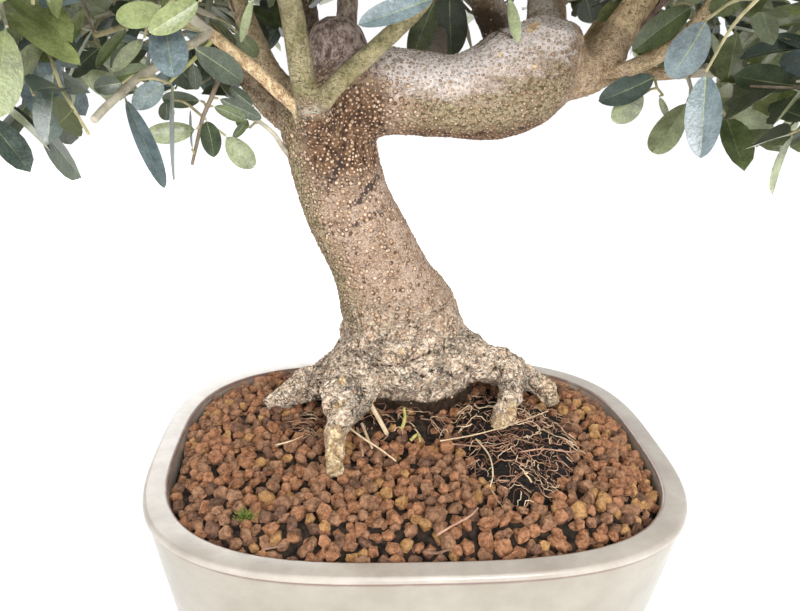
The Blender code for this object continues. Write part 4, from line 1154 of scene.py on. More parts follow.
def lenticel_chances():
    """How crowded the warts are at each point of the skin."""
    chance = 0.25 + 1.3 * on_trunk + 0.35 * flare + 0.4 * on_bough + 0.3 * fields["brown"]
    chance *= (1.0 - 0.8 * np.minimum(1.0, young * 1.6)) * (1.0 - fields["stump"])
    chance *= 1.0 - 0.8 * smooth_step(np.abs(shade_and_wear), 0.1, 0.5)
    chance *= (1.0 - darker_over_soil) * (z > GROUND + 0.004)
    return chance * np.clip(0.9 + 0.9 * noise_at(skin_points, 0.013, 17.0), 0.15, 1.8) * (1.0 - 0.8 * collar)


def scatter_lenticels(triangles):
    dice = random.Random(LENTICEL_SEED)
    first, second, third = (skin_points[triangles[:, corner]] for corner in range(3))
    areas = 0.5 * np.linalg.norm(np.cross(second - first, third - first), axis=1)
    weights = np.cumsum(areas * lenticel_chances()[triangles[:, 0]])
    places, tilts, sizes = [], [], []
    for _ in range(LENTICEL_TRIES):
        chosen = int(np.searchsorted(weights, dice.random() * weights[-1]))
        a, b = dice.random(), dice.random()
        if a + b > 1.0:
            a, b = 1.0 - a, 1.0 - b
        spot = first[chosen] + (second[chosen] - first[chosen]) * a + (third[chosen] - first[chosen]) * b
        corner = triangles[chosen, 0]
        growth = dice.random() ** LARGE_SHARE * (1.0 if on_trunk[corner] > 0.5 else SMALLER_OFF_TRUNK)
        growth *= 1.0 - 0.4 * shade_under_fork[corner]
        size = LENTICEL_RADIUS[0] + (LENTICEL_RADIUS[1] - LENTICEL_RADIUS[0]) * growth
        places.append(Vector(spot))
        tilts.append(normals[corner])
        sizes.append(size * (1.0 - 0.45 * young[corner]) * (1.0 + 0.15 * flare[corner]))
    spacings = [LENTICEL_SPACING * (0.55 + 0.75 * size / LENTICEL_RADIUS[1]) for size in sizes]
    kept = spread_out(places, spacings)[:LENTICEL_COUNT]
    turns = []
    for index in kept:
        stretch = np.diag((sizes[index], sizes[index] * dice.uniform(0.75, 1.0), sizes[index]))
        turns.append(frame_from(Vector(tilts[index]), dice.uniform(0.0, math.pi)) @ stretch)
    tans = np.array([dice.random() < TAN_SHARE for _ in kept])
    return np.array(turns), np.array([places[index] for index in kept]), tans


def make_lenticels(triangles):
    corks = toned_materials(CORK_TONES, 0.003, 0.0008, 0.2 * MILLIMETRE)
    shape, quads, tips = lenticel_shape()
    turns, places, tans = scatter_lenticels(triangles)
    points = copied_points(shape, turns, places)
    faces = [copied_faces(quads, len(places), len(shape)), copied_faces(tips, len(places), len(shape))]
    # The rims carry the warts' painted shadows.
    rim_shadows = np.zeros(len(places) * LENTICEL_SIDES, int)
    domes = np.repeat(np.where(tans, 2, 1), LENTICEL_SIDES)
    paints = np.concatenate([rim_shadows, domes])
    print("lenticels:", len(places))
    return mesh_object("lenticels", points, faces, corks, paints)


dress(make_lenticels(skin_triangles), "bark")

# %% [markdown]
# ## Soil
# The pot is topped with fired clay gravel over dark earth. Rigid body simulation would settle the grains,
# but it is slow and hard to repeat. Grains that are dealt out by size so that they just don't overlap, in
# two layers, look as settled. A grain is the hull of a few spots on a ball, so that it has flat, broken
# facets, and is turned at random. Each of its tones is a piece of its own.

# %% Soil surface
SOIL_EDGE_DROP = 0.005
SOIL_RISE = 0.006
SOIL_SLOPE = 0.62
BED_DEPTH = 0.0034  # the dark bed lies this far under the gravel's top
BED_RINGS = 26
BED_SEGMENTS = 144
BED_ROUGHNESS, BED_WAVES = 0.0016, 160.0
WALL_GAP = 0.0004
PEAT_CENTRE = (0.049, -0.008)
PEAT_RADII = (0.032, 0.054)
PEAT_HEIGHT = 0.0052
EARTH_TONES = ((0.007, 0.006, 0.005), (0.06, 0.04, 0.028))
BARE_EARTH = (
    # centre, radii and rise: under the burl, left of the knuckle, and by the left wall
    ((-0.006, 0.008), (0.032, 0.017), 0.003),
    ((-0.054, 0.006), (0.011, 0.017), 0.0),
    ((-0.105, -0.045), (0.006, 0.011), -0.002),
)


def wall_distance(x, y):
    """Roughly how far a place is inside the pot's outer edge."""
    radius = math.hypot(x, y)
    if radius < MILLIMETRE:
        return 0.5 * POT_DEPTH
    across = abs(x / radius / (0.5 * POT_WIDTH)) ** CORNER_POWER
    along = abs(y / radius / (0.5 * POT_DEPTH)) ** CORNER_POWER
    return (across + along) ** (-1.0 / CORNER_POWER) - radius


def soil_height(x, y):
    """Gravel rises from the wall and is level round the tree."""
    inside = wall_distance(x, y) - inner_inset(POT_HEIGHT)
    return min(POT_HEIGHT + SOIL_RISE, POT_HEIGHT - SOIL_EDGE_DROP + SOIL_SLOPE * max(inside, 0.0))


def earth_shares(x, y):
    """For each stretch of bare earth, 0 in its middle and 1 at its edge."""
    return [math.hypot((x - centre[0]) / radii[0], (y - centre[1]) / radii[1])
            for centre, radii, _ in BARE_EARTH]


def bed_height(x, y):
    """Top of the dark earth: under the gravel, and level with it or higher where it is bare."""
    height = soil_height(x, y) - BED_DEPTH
    for share, (_, _, rise) in zip(earth_shares(x, y), BARE_EARTH):
        height += (0.7 * BED_DEPTH + rise) * (1.0 - smooth_step(share, 0.4, 1.1))
    return height


def peat_share(x, y):
    """0 in the middle of the peat, 1 at its edge."""
    across = (x - PEAT_CENTRE[0]) / PEAT_RADII[0]
    along = (y - PEAT_CENTRE[1]) / PEAT_RADII[1]
    waves = 0.07 * math.sin(3.0 * math.atan2(along, across) + 0.8)
    return math.hypot(across, along) / (1.0 + waves)


def make_bed():
    """The dark earth under the gravel, with its sides and underside inside the pot."""
    edge_height = POT_HEIGHT - SOIL_EDGE_DROP - BED_DEPTH
    bottom = pot_ring(inner_inset(FLOOR_THICKNESS) + WALL_GAP, BED_SEGMENTS)
    rings = [np.column_stack([bottom, np.full(BED_SEGMENTS, FLOOR_THICKNESS + WALL_GAP)])]
    top = pot_ring(inner_inset(edge_height) + WALL_GAP, BED_SEGMENTS)
    for ring in range(BED_RINGS):
        share = 1.0 - ring / BED_RINGS
        places = top * share
        heights = []
        for px, py in places:
            rough = BED_ROUGHNESS * noise.noise(Vector((px, py, 0.0)) * BED_WAVES) * (1.0 - share ** 8)
            heights.append(bed_height(px, py) + rough)
        rings.append(np.column_stack([places, heights]))
    return ringed_object("soil_bed", rings)


def make_earth_finish(name, tones):
    earth = Finish(name, roughness=0.95, specular=0.2)
    earth.two_toned(0.003, tones, detail=6.0, high=0.68)
    earth.bump(earth.noise(0.0022, detail=6.0, roughness=0.7), 2.4 * MILLIMETRE)
    return earth.material


soil_bed = make_bed()
soil_bed.data.materials.append(make_earth_finish("dark_earth", EARTH_TONES))
dress(soil_bed, "gravel", "soil")

# %% Gravel
GRAVEL_SEED = 5
GRAIN_SHAPES = 12
GRAIN_CORNERS = 15
GOLDEN_TURN = math.pi * (3.0 - math.sqrt(5.0))
GRAIN_EDGE = math.radians(26)
GRAIN_HALF_LENGTH = (0.003, 0.0053)
LAYERS = (
    # cuts of a facet's edges, tries, depth under the surface, spacing share, chance on the bare earth
    dict(cuts=2, tries=16000, sink=(0.0, 0.0019), spacing=0.7, on_earth=0.36),
    dict(cuts=1, tries=6000, sink=(0.0028, 0.0042), spacing=0.74, on_earth=0.1),
)
GRAVEL_TONES = {
    # name: (share of the grains, dark tone, light tone)
    "gravel_red": (0.42, (0.13, 0.05, 0.02), (0.56, 0.275, 0.145)),
    "gravel_brown": (0.32, (0.105, 0.048, 0.024), (0.49, 0.265, 0.15)),
    "gravel_dark": (0.14, (0.06, 0.03, 0.018), (0.3, 0.16, 0.1)),
    "gravel_ochre": (0.1, (0.22, 0.095, 0.03), (0.64, 0.37, 0.16)),
}


def broken_grain(cuts, dice):
    """A grain of fired clay: the hull of a few spots, its facets cut finer and roughened."""
    grain = bmesh.new()
    for corner in range(GRAIN_CORNERS):
        level = 1.0 - 2.0 * (corner + 0.5) / GRAIN_CORNERS
        turn = GOLDEN_TURN * corner
        around = math.sqrt(1.0 - level * level)
        spot = Vector((around * math.cos(turn), around * math.sin(turn), level))
        spot += Vector([dice.gauss(0.0, 0.22) for _ in range(3)])
        grain.verts.new(spot.normalized() * dice.uniform(0.9, 1.06))
    hull = bmesh.ops.convex_hull(grain, input=grain.verts)
    bmesh.ops.delete(grain, geom=hull["geom_interior"], context="VERTS")
    bmesh.ops.subdivide_edges(grain, edges=grain.edges, cuts=cuts, use_grid_fill=True)
    bmesh.ops.triangulate(grain, faces=grain.faces)
    points = np.array([tuple(vertex.co) for vertex in grain.verts])
    faces = np.array([[vertex.index for vertex in face.verts] for face in grain.faces])
    grain.free()
    points *= np.array([1.0, dice.uniform(0.72, 0.98), dice.uniform(0.6, 0.85)])
    shift = Vector((dice.uniform(0.0, 9.0), 0.0, 0.0))
    rough = np.array([noise.noise(Vector(point) * 2.4 + shift) for point in points])
    return points * (1.0 + 0.12 * rough)[:, None], faces


limb_centres = np.array([point for tube in skin_tubes() for point in tube[0]])
limb_sizes = np.array([radius for tube in skin_tubes() for radius in tube[1]])


def clear_of_limbs(place, margin):
    distances = np.linalg.norm(limb_centres - np.array(place), axis=1)
    return bool(np.all(distances > limb_sizes + margin))


def scatter_grains(layer, dice):
    places, spacings, sizes = [], [], []
    for _ in range(layer["tries"]):
        x = dice.uniform(-0.5, 0.5) * (POT_WIDTH - 2.0 * LIP_WIDTH)
        y = dice.uniform(-0.5, 0.5) * (POT_DEPTH - 2.0 * LIP_WIDTH)
        size = dice.uniform(*GRAIN_HALF_LENGTH)
        if wall_distance(x, y) < inner_inset(POT_HEIGHT) + 0.75 * size:
            continue
        if peat_share(x, y) < 0.98 + 0.12 * dice.uniform(-1.0, 1.0):
            continue
        if min(earth_shares(x, y)) < 1.0 and dice.random() > layer["on_earth"]:
            continue
        top = max(soil_height(x, y), bed_height(x, y))
        place = Vector((x, y, top - dice.uniform(*layer["sink"]) - 0.25 * size))
        if clear_of_limbs(place, -0.0004):
            places.append(place)
            sizes.append(size)
            spacings.append(layer["spacing"] * 1.9 * size)
    return [(places[index], sizes[index]) for index in spread_out(places, spacings)]


def make_gravel():
    dice = random.Random(GRAVEL_SEED)
    shapes = {layer["cuts"]: [broken_grain(layer["cuts"], dice) for _ in range(GRAIN_SHAPES)]
              for layer in LAYERS}
    heaps = {name: ([], []) for name in GRAVEL_TONES}
    names = list(GRAVEL_TONES)
    shares = [GRAVEL_TONES[name][0] for name in names]
    for layer in LAYERS:
        for place, size in scatter_grains(layer, dice):
            points, faces = dice.choice(shapes[layer["cuts"]])
            heap = heaps[dice.choices(names, shares)[0]]
            turn = Quaternion([dice.gauss(0, 1) for _ in range(4)]).normalized()
            flatter = turn.slerp(Quaternion((0.0, 0.0, 1.0), dice.uniform(0.0, math.tau)), 0.45)
            heap[0].append(points @ np.array(flatter.to_matrix()).T * size + np.array(place))
            heap[1].append(faces)
    for name, (points, faces) in heaps.items():
        starts = np.cumsum([0] + [len(part) for part in points[:-1]])
        joined = np.concatenate([part + start for part, start in zip(faces, starts)])
        _, dark, light = GRAVEL_TONES[name]
        clay = Finish(name + "_clay", roughness=0.93, specular=0.25)
        pits = clay.noise(0.0011, detail=6.0, roughness=0.7)
        blotches = clay.plus(clay.times(clay.noise(0.0035, detail=5.0), 0.5), clay.times(pits, 0.5))
        clay.colour(clay.mix(clay.ramp(blotches, 0.38, 0.6), dark, light))
        clay.bump(pits, 1.6 * MILLIMETRE)
        heap = mesh_object(name, np.concatenate(points), [joined], [clay.material], sharp_angle=GRAIN_EDGE)
        dress(heap, "gravel")
        print("   grains:", len(points))


make_gravel()

# %% [markdown]
# ### Peat and fine roots
# Round the right root the gravel is raked aside and the old, dark root ball shows, matted with hair roots.
# Hair particles would do, but they are lost on export. Here each root is a thin tube that wanders over
# the mound by a random walk, turns a little at every step, and rises and dips into the peat.

# %% Peat
PEAT_TONES = ((0.005, 0.005, 0.005), (0.034, 0.027, 0.023))
PEAT_SINK = 0.004  # the mound's edge goes this far under the gravel
PEAT_FULLNESS = 0.93
PEAT_RINGS = 40
PEAT_SEGMENTS = 120
ROUGH_SIZE, ROUGH_HEIGHT = 0.0045, 0.0016
ROOT_SEED = 8
ROOT_COUNT = 430
ROOT_STEP = 0.0016
ROOT_STEPS = (5, 17)
EARTH_ROOT_SHARE = 0.22
ROOT_RADIUS = (0.00012, 0.00036)
TRUNK_SIDE = (0.045, 0.03)  # hair roots lead away from here
ROOT_TURN = 0.6  # how sharply a hair root wanders, in radians a step
ROOT_TONES = {
    "root_tan": (0.3, (0.55, 0.37, 0.21), (0.86, 0.68, 0.47)),
    "root_pink": (0.26, (0.26, 0.13, 0.08), (0.5, 0.3, 0.2)),
    "root_brown": (0.44, (0.1, 0.045, 0.028), (0.27, 0.135, 0.08)),
}


def peat_surface(x, y):
    """Height of the peat, which bulges in the middle and sinks under the gravel at its edge."""
    share = peat_share(x, y)
    bulge = 1.0 - min(share, 1.2) ** 2.4
    rough = ROUGH_HEIGHT * noise.noise(Vector((x, y, 0.3)) / ROUGH_SIZE)
    rough += 0.5 * ROUGH_HEIGHT * noise.noise(Vector((x, y, 0.9)) / ROUGH_SIZE * 2.6)
    return GROUND - PEAT_SINK + PEAT_FULLNESS * (PEAT_HEIGHT + PEAT_SINK) * bulge + rough


def make_peat():
    rings = []
    for ring in range(PEAT_RINGS + 1):
        share = 1.12 * (1.0 - ring / (PEAT_RINGS + 1))
        points = []
        for segment in range(PEAT_SEGMENTS):
            turn = math.tau * segment / PEAT_SEGMENTS
            waves = 1.0 + 0.07 * math.sin(3.0 * turn + 0.8)
            px = PEAT_CENTRE[0] + PEAT_RADII[0] * share * waves * math.cos(turn)
            py = PEAT_CENTRE[1] + PEAT_RADII[1] * share * waves * math.sin(turn)
            points.append((px, py, peat_surface(px, py)))
        rings.append(np.array(points))
    bottom = rings[0] * np.array([1.0, 1.0, 0.0]) + np.array([0.0, 0.0, GROUND - 2.0 * PEAT_SINK])
    return ringed_object("peat_mound", [bottom, *rings])


def root_walk(dice):
    """One hair root, wandering from a place on the peat or on the bare earth by the trunk."""
    turn, share = dice.uniform(0.0, math.tau), math.sqrt(dice.random())
    centre, radii = PEAT_CENTRE, PEAT_RADII
    if dice.random() < EARTH_ROOT_SHARE:
        centre, radii, _ = dice.choice(BARE_EARTH[:2])
    x = centre[0] + radii[0] * share * math.cos(turn)
    y = centre[1] + radii[1] * share * math.sin(turn)
    heading = math.atan2(y - TRUNK_SIDE[1], x - TRUNK_SIDE[0]) + dice.gauss(0.0, 1.3)
    count = dice.randint(*ROOT_STEPS)
    lift, rise = dice.uniform(0.0002, 0.0016), dice.uniform(-0.0004, 0.0006)
    points = []
    for step in range(count):
        if peat_share(x, y) > 1.06 and min(earth_shares(x, y)) > 1.06:
            break
        arch = math.sin(math.pi * step / count) * rise * 4.0
        ground = max(peat_surface(x, y), bed_height(x, y))
        points.append(Vector((x, y, ground + lift + arch)))
        heading += dice.gauss(0.0, ROOT_TURN)
        x += ROOT_STEP * math.cos(heading)
        y += ROOT_STEP * math.sin(heading)
        lift += dice.gauss(0.0, 0.0003)
    return points


def make_roots():
    dice = random.Random(ROOT_SEED)
    names = list(ROOT_TONES)
    tubes, paints = [], []
    while len(tubes) < ROOT_COUNT:
        points = root_walk(dice)
        if len(points) < 4:
            continue
        foot = dice.uniform(*ROOT_RADIUS)
        radii = [foot * (1.0 - 0.65 * index / len(points)) for index in range(len(points))]
        tubes.append((points, radii))
        paints.append(dice.choices(range(len(names)), [share for share, _, _ in ROOT_TONES.values()])[0])
    materials = toned_materials(ROOT_TONES, 0.004, 0.0008, 0.1 * MILLIMETRE)
    return tubes_object("fine_roots", tubes, 5, materials, paints)


peat = make_peat()
peat.data.materials.append(make_earth_finish("black_peat", PEAT_TONES))
dress(peat, "peat", "peat")
dress(make_roots(), "peat")

# %% [markdown]
# ### Loose straws and shoots
# A few straws lie over the gravel in front of the trunk, aerial roots hang from the knuckle, and two
# yellowish shoots stick out. Each runs through a few spots of the picture, at a height over the gravel.

# %% Straws
STRAWS = {
    # name: (spots in the picture with a height over the ground in mm, radius at foot and tip in mm, tone)
    "straw_long": ([(341, 421, 9), (360, 436, 7), (380, 449, 5), (396, 461, 2.5)], (0.55, 0.35), 0),
    "aerial_root": ([(366, 391, 15), (371, 405, 11), (379, 419, 7), (387, 434, 3)], (1.3, 1.1), 0),
    "aerial_root_left": ([(362, 424, 5), (366, 434, 5), (372, 448, 4)], (0.8, 0.5), 0),
    "thin_root": ([(357, 428, 5), (361, 444, 5), (363, 456, 4)], (0.6, 0.4), 1),
    "shoot": ([(402, 428, 2), (405, 418, 6), (404, 408, 10)], (1.0, 0.6), 3),
    "shoot_low": ([(411, 440, 2), (418, 434, 6), (420, 441, 5)], (0.9, 0.5), 3),
    "straw_cross": ([(440, 441, 2.5), (478, 434, 5), (516, 423, 6), (548, 411, 5.5)], (0.35, 0.2), 0),
    "straw_cross_low": ([(452, 444, 2.5), (487, 446, 5), (521, 438, 6)], (0.35, 0.2), 1),
    "straw_right": ([(520, 452, 6), (543, 449, 6), (573, 452, 3.5), (579, 447, 3)], (0.4, 0.25), 1),
    "straw_loop": ([(476, 439, 5), (489, 455, 6), (493, 474, 5), (490, 487, 3.5)], (0.4, 0.25), 0),
    "front_straw": ([(437, 535, 2), (452, 526, 3), (470, 516, 3), (478, 508, 2)], (0.5, 0.35), 1),
    "front_twig": ([(424, 551, 2), (437, 553, 2.5), (452, 548, 2.5)], (0.7, 0.4), 2),
    "left_straw": ([(262, 549, 2), (275, 547, 2.5), (286, 545, 2)], (0.6, 0.4), 2),
    "left_hair": ([(276, 445, 3), (291, 441, 3.5), (303, 436, 3)], (0.35, 0.2), 0),
}
STRAW_STEP = 0.0025
STRAW_TONES = {
    "straw_pale": ((0.55, 0.4, 0.24), (0.8, 0.64, 0.44)),
    "straw_brown": ((0.28, 0.15, 0.1), (0.5, 0.3, 0.21)),
    "straw_dark": ((0.1, 0.055, 0.035), (0.2, 0.11, 0.07)),
    "shoot_green": ((0.3, 0.3, 0.07), (0.56, 0.5, 0.19)),
}


def over_ground(column, row, height):
    """Point seen at a spot in the picture, this high over the ground."""
    ray = ray_through(column, row)
    return CAMERA_PLACE + ray * ((GROUND + height - CAMERA_PLACE.z) / ray.z)


MOSS_SPOT = (245, 517)
MOSS_SEED = 4
MOSS_BLADES = 110
MOSS_SPREAD = 0.0026
MOSS_BLADE = (0.001, 0.0028)
MOSS_TONES = ((0.05, 0.075, 0.012), (0.2, 0.26, 0.045))


def make_moss():
    """A small tuft: short blades that lean outward from one spot."""
    dice = random.Random(MOSS_SEED)
    moss = Finish("moss", roughness=0.8, specular=0.3)
    moss.two_toned(0.0015, MOSS_TONES, low=0.4, high=0.6)
    middle = over_ground(*MOSS_SPOT, 0.0)
    tubes = []
    for _ in range(MOSS_BLADES):
        lean = Vector((dice.gauss(0.0, 1.0), dice.gauss(0.0, 1.0), 0.0))
        foot = middle + lean * MOSS_SPREAD * 0.6
        tip = foot + (lean * 0.5 + Vector((0.0, 0.0, 1.0))).normalized() * dice.uniform(*MOSS_BLADE)
        tubes.append(([foot, foot.lerp(tip, 0.5), tip], [0.00018, 0.00016, 0.00006]))
    return tubes_object("moss_tuft", tubes, 4, [moss.material], [0] * MOSS_BLADES)


straw_materials = toned_materials(STRAW_TONES, 0.003, 0.0012, 0.15 * MILLIMETRE, roughness=0.75)
straws, straw_paints = spot_tubes(STRAWS, over_ground, STRAW_STEP)
dress(tubes_object("straws", straws, 7, straw_materials, straw_paints), "peat")
dress(make_moss(), "foliage")

# %% [markdown]
# ## Crown
# The crown's space is shared out between the masses as in the solids: each owns what is nearest to the
# line from its bough's tip to its middle. The same seeded draws choose the same seven twig tips for each
# mass, so the main twigs are the solid's own. Finer twigs then grow from them within the same reach.
# Scattering leaves over a hull would be quicker, but they would float, and the crown would look clipped.

# %% Crown's space
CROWN_CENTRE = Vector((0.002, 0.024, 0.34))
CROWN_RADII = Vector((0.222, 0.186, 0.16))
CROWN_DEPTH = 0.128
SKIRT_POWER = 3.2
LUMP = 0.08
HEART_X = 0.016
HEART_HALF_WIDTH = 0.08
HEART_FADE = 0.035
HEART_FLOOR = 0.288
HEART_FLOOR_BACK = 0.266
HEART_BACK_Y = (0.06, 0.09)
SKIRT_FLOOR = 0.212
MASS_GAP = 0.002
LIMB_CLEARANCE = 0.0022


class Crown:
    """The crown's space, shared out between the masses. Each question takes an array of points."""

    def __init__(self):
        self.names = list(BOUGHS)
        self.middles = np.array([plan["mass"] for plan in BOUGHS.values()])
        self.feet = np.array([bough_routes[name][0][-1] for name in self.names])
        self.axes = self.middles - self.feet
        limbs = [smooth_route(**plan) for plan in OLD_LIMBS[:4]]
        limbs += bough_routes.values()
        self.limb_centres = np.array([point for path, _ in limbs for point in path])
        self.limb_radii = np.array([radius for _, radii in limbs for radius in radii])

    def axis_distances(self, points):
        offsets = points[:, None, :] - self.feet[None]
        shares = (offsets * self.axes).sum(axis=2) / (self.axes ** 2).sum(axis=1)
        nearest = self.axes[None] * np.clip(shares, 0.0, 1.0)[..., None]
        return np.sqrt(((offsets - nearest) ** 2).sum(axis=2))

    def owners(self, points):
        """The mass that owns each point, and how much nearer it is than the next."""
        distances = self.axis_distances(points)
        ordered = np.sort(distances, axis=1)
        return distances.argmin(axis=1), ordered[:, 1] - ordered[:, 0]

    def depths(self, points, owners):
        """Share of the way from the crown's centre to its outline."""
        offsets = points - np.array(CROWN_CENTRE)
        above = offsets[:, 2] > 0.0
        heights = np.where(above, CROWN_RADII.z, CROWN_DEPTH)
        powers = np.where(above, 2.0, SKIRT_POWER)
        radii = np.tile(np.array(CROWN_RADII), (len(points), 1))
        radii[:, 2] = heights
        shares = np.abs(offsets / radii)
        depths = (shares ** powers[:, None]).sum(axis=1) ** (1.0 / powers)
        middles = self.middles[owners] - np.array(CROWN_CENTRE)
        lengths = np.linalg.norm(offsets, axis=1) * np.linalg.norm(middles, axis=1)
        turns = np.arccos(np.clip((offsets * middles).sum(axis=1) / np.maximum(lengths, 1e-9), -1.0, 1.0))
        return depths * (1.0 + LUMP * turns * turns)

    def floors(self, points):
        """Lowest foliage: high over the open heart, low at the crown's skirt."""
        backward = smooth_step(points[:, 1], *HEART_BACK_Y)
        heart = HEART_FLOOR + (HEART_FLOOR_BACK - HEART_FLOOR) * backward
        outward = smooth_step(np.abs(points[:, 0] - HEART_X), HEART_HALF_WIDTH, HEART_HALF_WIDTH + HEART_FADE)
        return heart + (SKIRT_FLOOR - heart) * outward

    def owns(self, points, mass):
        owners, margins = self.owners(points)
        return (owners == mass) & (margins > MASS_GAP)

    def holds(self, points, mass, reach=1.0):
        """True where a point is the mass's own, within its reach and over the crown's floor."""
        inside = self.depths(points, self.owners(points)[0]) <= reach
        return inside & (points[:, 2] >= self.floors(points)) & self.owns(points, mass)

    def clear_of_limbs(self, points, margin):
        distances = np.linalg.norm(points[:, None, :] - self.limb_centres[None], axis=2)
        return np.all(distances > self.limb_radii + margin, axis=1)


crown = Crown()

# %% [markdown]
# ### Twigs
# A main twig takes the cheapest way from its mass's stem to its tip. A fine twig does the same from the
# main twigs to a tip of its own, which is the one of several tries that is furthest from the others, so
# the crown fills evenly. It grows thinner towards its end, and wavers from bud to bud.

# %% Twigs
SEED = 7
TIPS_PER_MASS = 7
TIP_TRIES = 14
TIP_SHELL = 0.52
TIP_INSET = 0.85
CANDIDATES_AT_ONCE = 4096
STEM_GAP = 0.0003
STEM_LEAD = 0.014
STEM_OVERLAP = 0.004
STEM_TAPER = 0.75
TWIG_STEP = 0.045
TWIG_BEND = 0.35
FOOT_TRIES = 5
PATH_WEIGHT = 0.45
TWIG_TIP_RADIUS = 0.0013
FORK_SHARE = 0.5
TWIG_GROWTH = 0.42
TWIG_END_SHARE = 0.5
FINE_SEED = 31
FINE_TIPS = 40  # fine twigs for each mass
FINE_TRIES = 12
FINE_SHELL = 0.34
FINE_INSET = 0.93
FINE_STEP = 0.009
FINE_BEND = 0.45
FINE_RADII = (0.00105, 0.0005)
FINE_WAVER = 0.0009
FINE_WAY_SHARE = 0.4  # how much the way along a main twig counts in a fine twig's cost
FINE_REACH = 0.105  # fine tips are sought this far to each side of the mass's middle
MAIN_SPACING = 0.008
MAIN_SIDES = 7
FINE_SIDES = 5
TWIG_TONES = {
    "twig_olive": ((0.22, 0.2, 0.1), (0.42, 0.37, 0.22)),
    "twig_grey": ((0.28, 0.25, 0.19), (0.5, 0.46, 0.36)),
    "twig_brown": ((0.11, 0.08, 0.055), (0.25, 0.195, 0.145)),
    "twig_fresh": ((0.28, 0.29, 0.1), (0.46, 0.46, 0.2)),
    "twig_purple": ((0.13, 0.075, 0.07), (0.28, 0.19, 0.17)),
}
# Open sky in the picture: columns, the lowest row that foliage may reach there, and gaps (left, top,
# right, bottom) that stay open above it
SKY_COLUMNS = (95, 150, 200, 262, 275, 290, 400, 401, 475, 476, 580, 600, 705)
SKY_ROWS = (112, 100, 100, 118, 90, 8, 8, 40, 40, 14, 14, 52, 84)
SKY_TOP = -25  # foliage higher than this is out of sight
SKY_WINDOWS = ((440, 24, 480, 58), (384, 0, 404, 20))
FRONT_DEPTH = 0.03  # in the picture, nothing but the sprays in view is nearer than this


def in_open_sky(points):
    """True where a point would cover what is open in the picture, or hang in front of the fork."""
    columns, rows, ahead = seen_at(points)
    in_frame = (columns > SKY_COLUMNS[0]) & (columns < SKY_COLUMNS[-1]) & (ahead > 0.0) & (rows > SKY_TOP)
    covered = (rows > np.interp(columns, SKY_COLUMNS, SKY_ROWS)) | (points[:, 1] < FRONT_DEPTH)
    for left, top, right, bottom in SKY_WINDOWS:
        covered |= (columns > left) & (columns < right) & (rows > top) & (rows < bottom)
    return in_frame & covered


def tip_candidates(dice):
    """An endless row of random points in the crown's box, tested many at a time."""
    while True:
        shares = np.array([[dice.uniform(-1.0, 1.0) for _ in range(3)] for _ in range(CANDIDATES_AT_ONCE)])
        points = np.array(CROWN_CENTRE) + shares * np.array(CROWN_RADII)
        owners, margins = crown.owners(points)
        depths = crown.depths(points, owners)
        good = (depths >= TIP_SHELL) & (depths <= TIP_INSET) & (margins > MASS_GAP)
        good &= points[:, 2] >= crown.floors(points)
        for index in range(len(points)):
            yield Vector(points[index]), int(owners[index]), bool(good[index])


def scatter_tips():
    """Twig tips for each mass, from the same draws as the solid's."""
    stream = tip_candidates(random.Random(SEED))
    chosen = []
    tips = [[] for _ in crown.names]
    for mass, own_tips in enumerate(tips):
        while len(own_tips) < TIPS_PER_MASS:
            best, best_gap = None, -1.0
            tries = 0
            while tries < TIP_TRIES:
                point, owner, good = next(stream)
                if owner != mass or not good:
                    continue
                tries += 1
                gap = min([(point - other).length for other in chosen], default=1.0)
                if gap > best_gap:
                    best, best_gap = point, gap
            chosen.append(best)
            own_tips.append(best)
    return tips


def bent_path(start, heading, end, bend, step):
    """A twig leaves along its parent and bends over to its tip."""
    reach = (end - start).length
    control = start.lerp(end, 0.5) if not bend else start + heading * bend * reach
    count = max(2, round(reach / step))
    shares = [index / count for index in range(count + 1)]
    return [start * (1.0 - s) ** 2 + control * 2.0 * s * (1.0 - s) + end * s ** 2 for s in shares]


def is_free(path, mass):
    samples = path[1:] + [0.5 * (first + second) for first, second in zip(path[:-1], path[1:])]
    points = np.array(samples)
    return bool(crown.owns(points, mass).all() and crown.clear_of_limbs(points, LIMB_CLEARANCE).all())


def free_path(mass, nodes, target, bend, step):
    """The cheapest twig to a tip that stays in the mass's space and off the limbs, or None."""
    costs = [(target - point).length + PATH_WEIGHT * way for point, _, way in nodes]
    feet = sorted(range(1, len(nodes)), key=lambda foot: costs[foot])
    for foot in feet[:FOOT_TRIES]:
        for bent in (bend, 0.0):
            path = bent_path(nodes[foot][0], nodes[foot][1], target, bent, step)
            if is_free(path, mass):
                return foot, path
    return None


